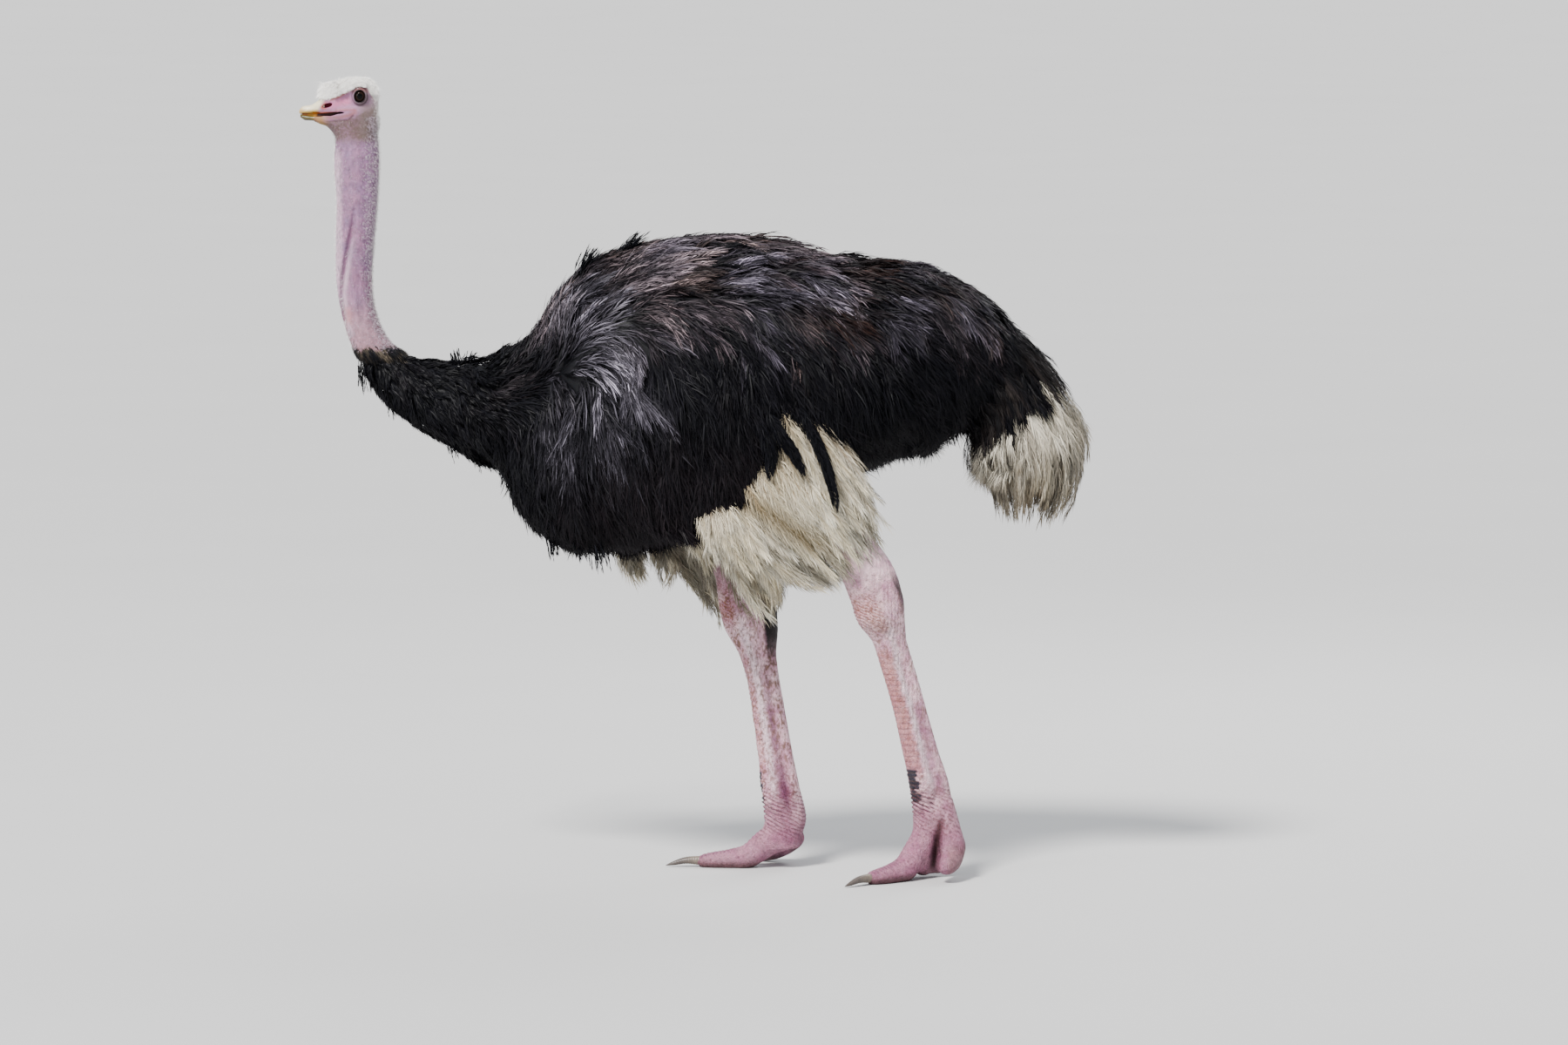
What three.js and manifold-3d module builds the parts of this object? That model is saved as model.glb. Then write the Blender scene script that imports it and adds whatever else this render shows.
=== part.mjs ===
// A male ostrich in mid-stride, life size, as a still museum model: 1.8 m tall with its neck in a relaxed S.
// Millimetres, +Z up. The bird faces -X and its left side is towards -Y. Each sub-part is one closed solid
// whose surface is the outline out to the tips of the plumage.
import * as THREE from "three";
import Module from "manifold-3d";

const wasm = await Module();
wasm.setup();

// ---- Driving dimensions ----
const GAP = 0.3; // clearance between touching solids
const LEFT = -1; // the bird's left side is at negative Y
const RIGHT = 1;

const TRUNK_FRONT_X = -452;
const TRUNK_REAR_X = 769;
const TRUNK_HALF_WIDTH = 243; // at its widest, under the folded wings
const BACK_Z = 1448;

const WING_BULGE = 30; // how far a folded wing stands out of the trunk
const HEAD_BASE = { x: -766, z: 1664 }; // where the neck meets the skull
const EYE = { x: -757, y: 24, z: 1757, radius: 23 };

// Stations of each leg from the knee, hidden in the plumage, to the ball of the foot:
// [x, y, z, half depth fore and aft, half width sideways]. The left leg trails and the right one leads.
const LEFT_LEG = {
  side: LEFT,
  stations: [
    [95, -150, 985, 84, 70], [200, -164, 868, 78, 64], [300, -158, 772, 66, 54], [380, -150, 698, 53, 42],
    [405, -144, 628, 57, 39], [414, -140, 592, 50, 36], [436, -134, 527, 36, 29], [475, -123, 395, 36, 26],
    [502, -115, 289, 39, 28], [523, -109, 208, 44, 33], [532, -103, 135, 45, 38], [533, -100, 84, 30, 30],
  ],
  ball: [533, -100, 112],
  toeOut: THREE.MathUtils.degToRad(42),
  outerToeLift: 24,
};
const RIGHT_LEG = {
  side: RIGHT,
  stations: [
    [15, 150, 985, 84, 70], [45, 148, 850, 76, 62], [78, 130, 735, 62, 50], [100, 110, 650, 59, 41],
    [113, 97, 588, 64, 40], [120, 90, 545, 60, 38], [137, 83, 476, 40, 31], [150, 74, 415, 36, 27],
    [175, 60, 260, 39, 28], [187, 52, 182, 43, 33], [198, 45, 112, 47, 38], [198, 42, 58, 32, 30],
  ],
  ball: [198, 42, 84],
  toeOut: THREE.MathUtils.degToRad(2),
  outerToeLift: 0,
};

// ---- Materials ----
const finish = (color, roughness) => new THREE.MeshStandardMaterial({ color, roughness, metalness: 0 });
const BLACK_PLUMAGE = finish(0x17141a, 0.85);
const WHITE_PLUMAGE = finish(0xd8cfbd, 0.9);
const DOWN = finish(0xe9e0d6, 0.9);
const SKIN = finish(0xc79fa4, 0.6);
const HORN = finish(0xc89a5e, 0.45);
const CLAW = finish(0x4a4542, 0.5);
const EYEBALL = finish(0x1a100c, 0.08);

// ---- Shapes ----

// A smooth curve through [position, value] pairs that never overshoots them (monotone cubic).
function through(points) {
  const last = points.length - 1;
  const chord = (i) => (points[i + 1][1] - points[i][1]) / (points[i + 1][0] - points[i][0]);
  const slope = points.map((_, i) => {
    if (i === 0) return chord(0);
    if (i === last) return chord(last - 1);
    const [before, after] = [chord(i - 1), chord(i)];
    return before * after <= 0 ? 0 : (2 * before * after) / (before + after);
  });
  return (at) => {
    const t = Math.min(Math.max(at, points[0][0]), points[last][0]);
    let i = 0;
    while (i < last - 1 && t > points[i + 1][0]) i += 1;
    const width = points[i + 1][0] - points[i][0];
    const u = (t - points[i][0]) / width;
    return (
      (1 + 2 * u) * (1 - u) ** 2 * points[i][1] +
      u * (1 - u) ** 2 * width * slope[i] +
      u * u * (3 - 2 * u) * points[i + 1][1] +
      u * u * (u - 1) * width * slope[i + 1]
    );
  };
}

// A closed solid from rings of points, each end closed by a fan round its middle.
function skinned(rings) {
  const segments = rings[0].length;
  const middle = (ring) =>
    ring.reduce((sum, p) => sum.add(p), new THREE.Vector3()).divideScalar(segments);
  const points = [...rings.flat(), middle(rings[0]), middle(rings.at(-1))];
  const startCentre = rings.length * segments;
  const triangles = [];
  for (let s = 0; s < segments; s += 1) {
    const next = (s + 1) % segments;
    for (let r = 0; r < rings.length - 1; r += 1) {
      const [a, b] = [r * segments + s, r * segments + next];
      triangles.push(a, b, a + segments, b, b + segments, a + segments);
    }
    const endRow = (rings.length - 1) * segments;
    triangles.push(startCentre, next, s, startCentre + 1, endRow + s, endRow + next);
  }
  return solidFrom(points, triangles);
}

function solidFrom(points, triangles) {
  const vertProperties = new Float32Array(points.flatMap((p) => p.toArray()));
  const build = (triVerts) =>
    new wasm.Manifold(new wasm.Mesh({ numProp: 3, vertProperties, triVerts }));
  const made = build(new Uint32Array(triangles));
  return made.volume() > 0 ? made : build(new Uint32Array(triangles).reverse());
}

// A point of a rounded-box outline: power 2 is an ellipse, and more is squarer.
const rounded = (angle, power) =>
  [Math.cos(angle), Math.sin(angle)].map((v) => Math.sign(v) * Math.abs(v) ** (2 / power));

// A body along X given by its top, bottom and half-width curves, with upright rings.
function alongX({ from, to, top, bottom, half, power = 2.2, rings, segments, grow = 0 }) {
  const stations = Array.from({ length: rings }, (_, i) => {
    const eased = (1 - Math.cos((Math.PI * i) / (rings - 1))) / 2;
    const x = from + (to - from) * eased;
    const [high, low] = [top(x) + grow, bottom(x) - grow];
    return Array.from({ length: segments }, (_, s) => {
      const [across, up] = rounded((2 * Math.PI * s) / segments, power);
      const outward = x - grow + (2 * grow * i) / (rings - 1);
      return new THREE.Vector3(
        outward,
        across * (half(x) + grow),
        (high + low) / 2 + (up * (high - low)) / 2,
      );
    });
  });
  return skinned(stations);
}

// A tube through stations [x, y, z, radius fore and aft, radius sideways], with rounded ends where asked.
function tube(stations, { rings = 24, segments = 14, side = [0, 1, 0], grow = 0, round = [0, 0] } = {}) {
  const path = new THREE.CatmullRomCurve3(
    stations.map(([x, y, z]) => new THREE.Vector3(x, y, z)),
    false,
    "centripetal",
  );
  const last = stations.length - 1;
  const [deep, wide] = [3, 4].map((k) => through(stations.map((row, i) => [i / last, row[k]])));
  const dome = (u) => {
    const start = round[0] && u < round[0] ? Math.sqrt(1 - (1 - u / round[0]) ** 2) : 1;
    const end = round[1] && 1 - u < round[1] ? Math.sqrt(1 - (1 - (1 - u) / round[1]) ** 2) : 1;
    return Math.max(start * end, 0.12);
  };
  const loops = Array.from({ length: rings }, (_, i) => {
    const eased = (1 - Math.cos((Math.PI * i) / (rings - 1))) / 2;
    const u = round[0] || round[1] ? eased : i / (rings - 1);
    const ahead = path.getTangent(u);
    const across = new THREE.Vector3(...side);
    across.addScaledVector(ahead, -across.dot(ahead)).normalize();
    const fore = new THREE.Vector3().crossVectors(ahead, across);
    const ends = i === 0 ? -grow : i === rings - 1 ? grow : 0;
    const centre = path.getPoint(u).addScaledVector(ahead, ends);
    return Array.from({ length: segments }, (_, s) => {
      const angle = (2 * Math.PI * s) / segments;
      return centre
        .clone()
        .addScaledVector(fore, Math.cos(angle) * (deep(u) * dome(u) + grow))
        .addScaledVector(across, Math.sin(angle) * (wide(u) * dome(u) + grow));
    });
  });
  return skinned(loops);
}

function ball({ x, y, z, radius }, grow = 0, [across, down] = [12, 7]) {
  const size = radius + grow;
  const rings = Array.from({ length: down }, (_, i) => {
    const polar = (Math.PI * (i + 0.5)) / down;
    return Array.from({ length: across }, (_, s) => {
      const angle = (2 * Math.PI * s) / across;
      return new THREE.Vector3(
        x + size * Math.sin(polar) * Math.cos(angle),
        y + size * Math.cos(polar),
        z + size * Math.sin(polar) * Math.sin(angle),
      );
    });
  });
  return skinned(rings);
}

// ---- Cuts ----

const without = (solid, ...others) => others.reduce((left, cutter) => left.subtract(cutter), solid);
const joined = (...solids) => solids.reduce((all, one) => all.add(one));

// The biggest piece, where a cut leaves a sliver behind.
const largest = (solid) => solid.decompose().reduce((a, b) => (b.volume() > a.volume() ? b : a));

const above = (solid, z) => solid.trimByPlane([0, 0, 1], z);

// Cuts a solid into lengths at planes [point, direction], each cut one gap wide.
function lengths(solid, planes) {
  const pieces = [];
  let rest = solid;
  for (const [point, direction] of planes) {
    const normal = new THREE.Vector3(...direction).normalize();
    const offset = normal.dot(new THREE.Vector3(...point));
    pieces.push(rest.trimByPlane(normal.clone().negate().toArray(), GAP / 2 - offset));
    rest = rest.trimByPlane(normal.toArray(), offset + GAP / 2);
  }
  return [...pieces, rest];
}

// ---- Trunk, wings and tail ----

const backLine = through([
  [TRUNK_FRONT_X, 1060], [-405, 1168], [-360, 1240], [-317, 1313], [-218, 1399], [-81, 1440], [50, BACK_Z],
  [195, 1434], [293, 1407], [470, 1389], [549, 1369], [608, 1340], [667, 1294], [TRUNK_REAR_X, 1172],
]);
const bellyLine = through([
  [TRUNK_FRONT_X, 970], [-425, 872], [-366, 778], [-268, 729], [-100, 742], [96, 806], [230, 872], [360, 908],
  [450, 930], [525, 943], [560, 980], [640, 1026], [TRUNK_REAR_X, 1128],
]);
const girth = through([
  [TRUNK_FRONT_X, 45], [-405, 120], [-317, 182], [-199, 222], [50, TRUNK_HALF_WIDTH], [293, 234],
  [490, 196], [647, 128], [720, 78], [TRUNK_REAR_X, 18],
]);
const trunkShape = (grow) =>
  alongX({
    from: TRUNK_FRONT_X, to: TRUNK_REAR_X, top: backLine, bottom: bellyLine, half: girth,
    rings: 22, segments: 22, grow,
  });
const trunk = trunkShape(0);
const trunkCutter = trunkShape(GAP);

// A folded wing: a long flat lobe lying on the flank, from the shoulder back over the thigh.
const wingTop = through([[-330, 1150], [-250, 1270], [-50, 1345], [200, 1330], [400, 1210], [500, 1090]]);
const wingEdge = through([[-330, 1060], [-250, 905], [-60, 800], [60, 800], [160, 890], [300, 960], [500, 1040]]);
function foldedWing(side) {
  const middle = (x) => (wingTop(x) + wingEdge(x)) / 2;
  const stations = Array.from({ length: 9 }, (_, i) => {
    const x = -330 + (830 * i) / 8;
    return [x, side * (girth(x) - 42), middle(x), (wingTop(x) - wingEdge(x)) / 2, 42 + WING_BULGE];
  });
  return tube(stations, { rings: 10, segments: 12, round: [0.12, 0.12] });
}

const tailShape = tube(
  [
    [600, 0, 1190, 110, 96],
    [706, 0, 1088, 122, 112],
    [742, 0, 989, 147, 122],
    [755, 0, 911, 125, 104],
    [748, 0, 856, 86, 66],
    [741, 0, 812, 40, 24],
  ],
  { rings: 12, segments: 14, round: [0.12, 0.08] },
);
const [tailCoverts, tailPlumes] = lengths(without(tailShape, trunkCutter), [
  [[725, 0, 1040], [0.2, 0, -1]],
]);

// ---- Head and neck ----

const crownLine = through([
  [-850, 1752], [-846, 1774], [-836, 1787], [-806, 1794], [-767, 1800], [-745, 1799], [-730, 1786], [-721, 1762],
  [-716, 1730],
]);
const jawLine = through([
  [-850, 1704], [-842, 1698], [-828, 1684], [-806, 1663], [-780, 1652], [-745, 1656], [-716, 1690],
]);
const skullHalf = through([
  [-850, 21], [-838, 27], [-806, 35], [-780, 40], [-757, 41], [-735, 36], [-722, 26], [-716, 15],
]);
const skull = (grow) =>
  alongX({
    from: -850, to: -716, top: crownLine, bottom: jawLine, half: skullHalf, rings: 13, segments: 16, grow,
  });

const billHalf = through([[-895, 6], [-889, 12], [-872, 17], [-845, 23], [-806, 27]]);
const upperBill = (grow) =>
  alongX({
    from: -895, to: -806, half: billHalf, power: 2.4, rings: 7, segments: 10, grow,
    top: through([[-895, 1728], [-888, 1735], [-870, 1738], [-845, 1750], [-806, 1762]]),
    bottom: through([[-895, 1721], [-870, 1719], [-828, 1722], [-806, 1724]]),
  });
const lowerBill = (grow) =>
  alongX({
    from: -892, to: -806, half: billHalf, power: 2.4, rings: 7, segments: 10, grow,
    top: through([[-892, 1714], [-865, 1715], [-828, 1715], [-806, 1720]]),
    bottom: through([[-892, 1709], [-882, 1703], [-865, 1702], [-845, 1696], [-806, 1684]]),
  });
const mouthOpening = alongX({
  from: -870, to: -790, half: () => 60, power: 4, rings: 3, segments: 8,
  top: through([[-870, 1724], [-790, 1722.5]]),
  bottom: through([[-870, 1713], [-790, 1721.5]]),
});

const eyes = [LEFT, RIGHT].map((side) => ({ ...EYE, y: side * EYE.y }));
const head = largest(
  without(skull(0), upperBill(GAP), lowerBill(GAP), mouthOpening, ...eyes.map((eye) => ball(eye, GAP))),
);

// From the skull down the bare S of the neck to its broad feathered root inside the trunk.
const neckShape = tube(
  [
    [HEAD_BASE.x, 0, HEAD_BASE.z + 34, 44, 34],
    [-767, 0, 1610, 50.5, 38],
    [-767, 0, 1520, 46, 37],
    [-772, 0, 1430, 43, 36],
    [-774, 0, 1340, 40, 35],
    [-764, 0, 1268, 38, 35],
    [-737, 0, 1195, 40, 39],
    [-686, 0, 1128, 59, 52],
    [-616, 0, 1089, 82, 72],
    [-529, 0, 1062, 105, 96],
    [-450, 0, 1052, 124, 122],
    [-370, 0, 1060, 140, 138],
  ],
  { rings: 24, segments: 14 },
);
const [neckUpper, neckMiddle, neckLower, neckRoot] = lengths(
  largest(without(neckShape, skull(GAP), trunkCutter)),
  [
    [[-767, 0, 1500], [0, 0, -1]],
    [[-774, 0, 1330], [0, 0, -1]],
    [[-730, 0, 1196], [0.62, 0, -0.78]],
  ],
);

// ---- Legs ----

const legShape = ({ stations }, grow = 0) =>
  tube(stations, { rings: 24, segments: 12, grow, round: [0.1, 0.05] });

// Toe stations, from under the ball of the foot: [reach forwards, reach outwards,
// share of the ball's height, height above that, half depth, half width].
const BIG_TOE = [
  [-6, 0, 0.95, 0, 36, 32], [40, 0, 0.54, 12, 32, 29], [84, 0, 0.15, 13, 27, 31], [128, 0, 0, 17, 23, 28],
  [172, 0, 0, 14, 18, 23], [202, 0, 0, 12, 13, 15],
];
const SMALL_TOE = [
  [-22, 30, 0.84, 0, 24, 22], [-12, 54, 0.58, 8, 26, 25], [18, 77, 0.24, 14, 24, 25],
  [50, 96, 0.04, 16, 19, 21], [72, 108, 0, 14, 13, 14],
];
const CLAW_SHAPE = [
  [194, 0, 0, 14, 11, 10], [226, 0, 0, 14, 8, 9], [256, 0, 0, 7, 4.5, 5], [271, 0, 0, 3, 2, 2],
];

function digit({ side, ball: [x, y, z], toeOut }, rows, { lift = 0, ...options }) {
  const ahead = new THREE.Vector3(-Math.cos(toeOut), side * Math.sin(toeOut), 0);
  const outward = new THREE.Vector3(Math.sin(toeOut), side * Math.cos(toeOut), 0);
  const stations = rows.map(([forwards, outwards, share, height, deep, wide]) => {
    const p = new THREE.Vector3(x, y, 0).addScaledVector(ahead, forwards).addScaledVector(outward, outwards);
    return [p.x, p.y, share * z + height + (lift * Math.max(forwards, 0)) / 72, deep, wide];
  });
  return above(tube(stations, { side: outward.toArray(), segments: 9, ...options }), 0);
}

function leg(spec, tag) {
  const cutter = legShape(spec, GAP);
  const bigToeShape = (grow) => digit(spec, BIG_TOE, { rings: 10, round: [0.08, 0.1], grow });
  const joint = (i) => spec.stations[i].slice(0, 3);
  const towards = (i, j) => joint(j).map((v, k) => v - joint(i)[k]);
  const [thigh, hock, shank] = lengths(largest(without(legShape(spec), trunkCutter)), [
    [joint(3), towards(2, 3)],
    [joint(6), towards(5, 6)],
  ]);
  const bigToe = largest(without(bigToeShape(0), cutter));
  const smallToeShape = digit(spec, SMALL_TOE, { rings: 8, round: [0.1, 0.16], lift: spec.outerToeLift });
  const smallToe = largest(without(smallToeShape, cutter, bigToeShape(GAP)));
  const claw = largest(without(digit(spec, CLAW_SHAPE, { rings: 5, segments: 6 }), bigToeShape(GAP)));
  return {
    cutter,
    parts: [
      [`drumstick_${tag}`, thigh, SKIN],
      [`hock_${tag}`, hock, SKIN],
      [`shank_${tag}`, shank, SKIN],
      [`big_toe_${tag}`, bigToe, SKIN],
      [`small_toe_${tag}`, smallToe, SKIN],
      [`claw_${tag}`, claw, CLAW],
    ],
  };
}
const leftLeg = leg(LEFT_LEG, "left");
const rightLeg = leg(RIGHT_LEG, "right");

// ---- Long plumes ----

// A leaf-shaped group of plumes through [x, y, z] points, widest in its middle and thin sideways.
function plume(points, width, { thickness = 14, root = 0.45 } = {}) {
  const swell = [root, Math.max(root, 0.85), 1, 0.8, 0.42];
  const path = new THREE.CatmullRomCurve3(points.map((p) => new THREE.Vector3(...p)));
  const stations = swell.map((share, i) => {
    const p = path.getPoint(i / (swell.length - 1));
    return [p.x, p.y, p.z, (width / 2) * share, thickness * (0.6 + 0.4 * share)];
  });
  return tube(stations, { rings: 6, segments: 8, round: [0.15, 0.15] });
}

// White quills that fall from under each wing over the thigh, and softer ones between the legs.
const leftPlumes = joined(
  plume([[196, -244, 1020], [283, -250, 926], [348, -226, 825], [401, -196, 726]], 112, { thickness: 18, root: 0.8 }),
  plume([[120, -240, 940], [205, -244, 848], [283, -226, 786], [368, -202, 724]], 104, { thickness: 18 }),
);
const rightPlumes = joined(
  plume([[-60, 232, 880], [50, 252, 800], [104, 240, 720], [140, 226, 660]], 104, { thickness: 18 }),
  plume([[-90, 226, 870], [-90, 236, 770], [-22, 228, 680], [27, 216, 600], [50, 208, 552]], 96, { thickness: 18 }),
  plume([[-90, 220, 860], [-78, 222, 760], [-68, 214, 700], [-64, 206, 645]], 62),
  plume([[-110, 218, 850], [-146, 214, 760], [-146, 206, 700], [-138, 200, 645]], 62),
);
const innerPlumes = joined(
  plume([[60, -28, 880], [112, -36, 800], [185, -52, 750], [254, -58, 718], [306, -60, 686]], 78, { root: 0.8 }),
  plume([[40, -16, 880], [73, -16, 785], [112, -2, 716], [146, 8, 655], [159, 12, 588]], 84, { root: 0.9 }),
  plume([[80, -24, 870], [136, -24, 743], [185, -22, 694], [204, -16, 655], [186, -10, 610]], 60, { root: 0.8 }),
);

// Black streamers from the wing's rear edge over the white plumes are one piece with the wing.
const streamers = (side) =>
  joined(
    plume([[190, side * 262, 1130], [240, side * 276, 1059], [286, side * 286, 970], [315, side * 276, 845]], 38, {
      thickness: 11, root: 0.9,
    }),
    plume([[130, side * 262, 1100], [165, side * 274, 1052], [214, side * 282, 998], [242, side * 280, 932]], 34, {
      thickness: 11, root: 0.9,
    }),
  );
const wingShapes = [LEFT, RIGHT].map((side) => joined(foldedWing(side), streamers(side)));
const clearOf = (...others) => (solid) =>
  largest(without(solid, trunkCutter, leftLeg.cutter, rightLeg.cutter, ...others));
const wings = wingShapes.map(clearOf());

// ---- Assembly ----

const ostrich = new THREE.Group();

function add(name, solid, material) {
  const { vertProperties, triVerts, numProp } = solid.getMesh();
  const position = new Float32Array((vertProperties.length / numProp) * 3);
  for (let i = 0; i < position.length / 3; i += 1) {
    position.set(vertProperties.subarray(i * numProp, i * numProp + 3), i * 3);
  }
  const geometry = new THREE.BufferGeometry();
  geometry.setAttribute("position", new THREE.BufferAttribute(position, 3));
  geometry.setIndex(new THREE.BufferAttribute(new Uint32Array(triVerts), 1));
  geometry.computeVertexNormals();
  const mesh = new THREE.Mesh(geometry, material);
  mesh.name = name;
  ostrich.add(mesh);
}

add("head", head, DOWN);
add("bill_upper", upperBill(0), HORN);
add("bill_lower", lowerBill(0), HORN);
add("eye_left", ball(eyes[0]), EYEBALL);
add("eye_right", ball(eyes[1]), EYEBALL);
add("neck_upper", neckUpper, SKIN);
add("neck_middle", neckMiddle, SKIN);
add("neck_lower", neckLower, SKIN);
add("neck_root", neckRoot, BLACK_PLUMAGE);
add("trunk", trunk, BLACK_PLUMAGE);
add("wing_left", wings[0], BLACK_PLUMAGE);
add("wing_right", wings[1], BLACK_PLUMAGE);
add("tail_coverts", tailCoverts, BLACK_PLUMAGE);
add("tail_plumes", tailPlumes, WHITE_PLUMAGE);
add("wing_plumes_left", clearOf(wingShapes[0])(leftPlumes), WHITE_PLUMAGE);
add("wing_plumes_right", clearOf(wingShapes[1])(rightPlumes), WHITE_PLUMAGE);
add("inner_plumes", clearOf()(innerPlumes), WHITE_PLUMAGE);
for (const [name, solid, material] of [...leftLeg.parts, ...rightLeg.parts]) add(name, solid, material);

// The origin is the middle of the bounding box at floor level.
const middle = new THREE.Box3().setFromObject(ostrich).getCenter(new THREE.Vector3());
ostrich.position.set(-middle.x, -middle.y, 0);

export default ostrich;
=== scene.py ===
"""The looks of the standing ostrich: one skin, horny parts, eyes, down and plumage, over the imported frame.

Shapes are worked out in the solids' own millimetres, with the bird facing -X and its left side at -Y, and
moved to the frame at the end.
"""

import math

import bpy
import numpy as np
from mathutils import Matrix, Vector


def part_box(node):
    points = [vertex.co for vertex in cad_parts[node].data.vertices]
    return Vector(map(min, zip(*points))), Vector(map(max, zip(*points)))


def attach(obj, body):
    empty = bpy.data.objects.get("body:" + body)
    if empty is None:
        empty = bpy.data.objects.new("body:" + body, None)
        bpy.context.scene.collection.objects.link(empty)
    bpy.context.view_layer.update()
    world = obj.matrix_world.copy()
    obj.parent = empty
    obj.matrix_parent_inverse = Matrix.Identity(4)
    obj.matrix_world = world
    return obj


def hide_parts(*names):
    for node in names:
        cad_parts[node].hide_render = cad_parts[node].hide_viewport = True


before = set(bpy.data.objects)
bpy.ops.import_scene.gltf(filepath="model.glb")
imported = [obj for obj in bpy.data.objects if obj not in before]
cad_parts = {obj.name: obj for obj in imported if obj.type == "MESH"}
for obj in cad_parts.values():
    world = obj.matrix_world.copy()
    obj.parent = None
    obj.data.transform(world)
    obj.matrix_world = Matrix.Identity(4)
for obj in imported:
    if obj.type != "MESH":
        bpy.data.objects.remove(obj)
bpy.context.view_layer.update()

import openvdb
from mathutils import Vector

FLOAT = np.float32

# surfaces' cell sizes in millimetres, and the limits of pieces
HEAD_CELL, LEG_CELL, BODY_CELL, BILL_CELL, CLAW_CELL = 1.75, 2.6, 12.0, 0.9, 1.3
SKIN_TRIANGLES = 196000
PIECE_RIBBONS = 64000

BILL_TIP, BILL_ROOT = -895, -838

bill_low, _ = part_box("bill_upper")
eye_boxes = [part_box(f"eye_{side}") for side in ("left", "right")]
MIDDLE = sum(corner[1] for corners in eye_boxes for corner in corners) * 250  # four corners' mean, in mm
SHIFT = np.array([bill_low[0] * 1000 - BILL_TIP, MIDDLE, 0.0])


def to_frame(points):
    return (np.asarray(points) + SHIFT) * 0.001


# ---------------------------------------------------------------- curves and fields


def through(*pairs):
    """A smooth function through (position, value) pairs that never overshoots them."""
    at, value = (np.array(v, float) for v in zip(*pairs))
    width = np.diff(at)
    chord = np.diff(value) / width
    slope = np.empty(len(at))
    slope[0], slope[-1] = chord[0], chord[-1]
    same = chord[1:] * chord[:-1] > 0
    total = np.where(same, chord[1:] + chord[:-1], 1)
    slope[1:-1] = np.where(same, 2 * chord[1:] * chord[:-1] / total, 0)
    fine = np.linspace(at[0], at[-1], 700)
    i = np.clip(np.searchsorted(at, fine, side="right") - 1, 0, len(at) - 2)
    u = (fine - at[i]) / width[i]
    y = (
        (1 + 2 * u) * (1 - u) ** 2 * value[i]
        + u * (1 - u) ** 2 * width[i] * slope[i]
        + u * u * (3 - 2 * u) * value[i + 1]
        + u * u * (u - 1) * width[i] * slope[i + 1]
    )
    return lambda t: np.interp(t, fine, y).astype(FLOAT)


def unit(v):
    return v / np.maximum(np.linalg.norm(v, axis=-1, keepdims=True), 1e-9)


def ease(t, low, high):
    """0 below low, 1 above high, smooth between; low may be the larger."""
    u = np.clip((t - low) / (high - low), 0, 1)
    return u * u * (3 - 2 * u)


def hump(t, width):
    """1 where t is 0, falling away over about the width on both sides."""
    return np.exp(-((t / width) ** 2))


def spot(a, wide, b, tall):
    """The same in two directions."""
    return np.exp(-((a / wide) ** 2 + (b / tall) ** 2))


def merge(a, b, soft):
    """The union of two distance fields, with a fillet."""
    h = np.maximum(soft - np.abs(a - b), 0) / soft
    return np.minimum(a, b) - h * h * soft / 4


def carve(a, b, soft):
    return -merge(-a, b, soft)


def noise(points, size, seed):
    """Smooth value noise from -1 to 1, with blobs of about the given size."""
    q = np.asarray(points) / size + seed * 17.31
    cell = np.floor(q).astype(np.int64)
    f = q - cell
    f = f * f * (3 - 2 * f)
    total = 0
    for dx in (0, 1):
        for dy in (0, 1):
            for dz in (0, 1):
                h = (cell[..., 0] + dx) * 374761393 + (cell[..., 1] + dy) * 668265263
                h = h + (cell[..., 2] + dz) * 2147483647 + seed * 1442695041
                h = (h ^ (h >> 13)) * 1274126177
                h = ((h ^ (h >> 16)) & 0xFFFFFF) / 0xFFFFFF
                w = np.where(dx, f[..., 0], 1 - f[..., 0]) * np.where(dy, f[..., 1], 1 - f[..., 1])
                total = total + w * np.where(dz, f[..., 2], 1 - f[..., 2]) * h
    return total * 2 - 1


def oval(a, b, ra, rb, power=2.0):
    """Distance, along the ray from the middle, to a rounded outline of half sizes ra and rb."""
    k = (np.abs(a / ra) ** power + np.abs(b / rb) ** power) ** (1 / power)
    r = np.sqrt(a * a + b * b)
    return np.where(k > 1e-4, r * (1 - 1 / np.maximum(k, 1e-4)), -np.minimum(ra, rb))


def blob(p, centre, radii):
    """About the distance to an ellipsoid."""
    q = (p - np.array(centre, FLOAT)) / np.array(radii, FLOAT)
    k = np.linalg.norm(q, axis=-1)
    return (k - 1) * min(radii)


def capsule(p, a, b, ra, rb):
    """Distance to a rounded rod from a to b."""
    a, b = np.array(a, FLOAT), np.array(b, FLOAT)
    t = np.clip((p - a) @ (b - a) / ((b - a) @ (b - a)), 0, 1)
    return np.linalg.norm(p - a - t[..., None] * (b - a), axis=-1) - (ra + (rb - ra) * t)


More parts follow.
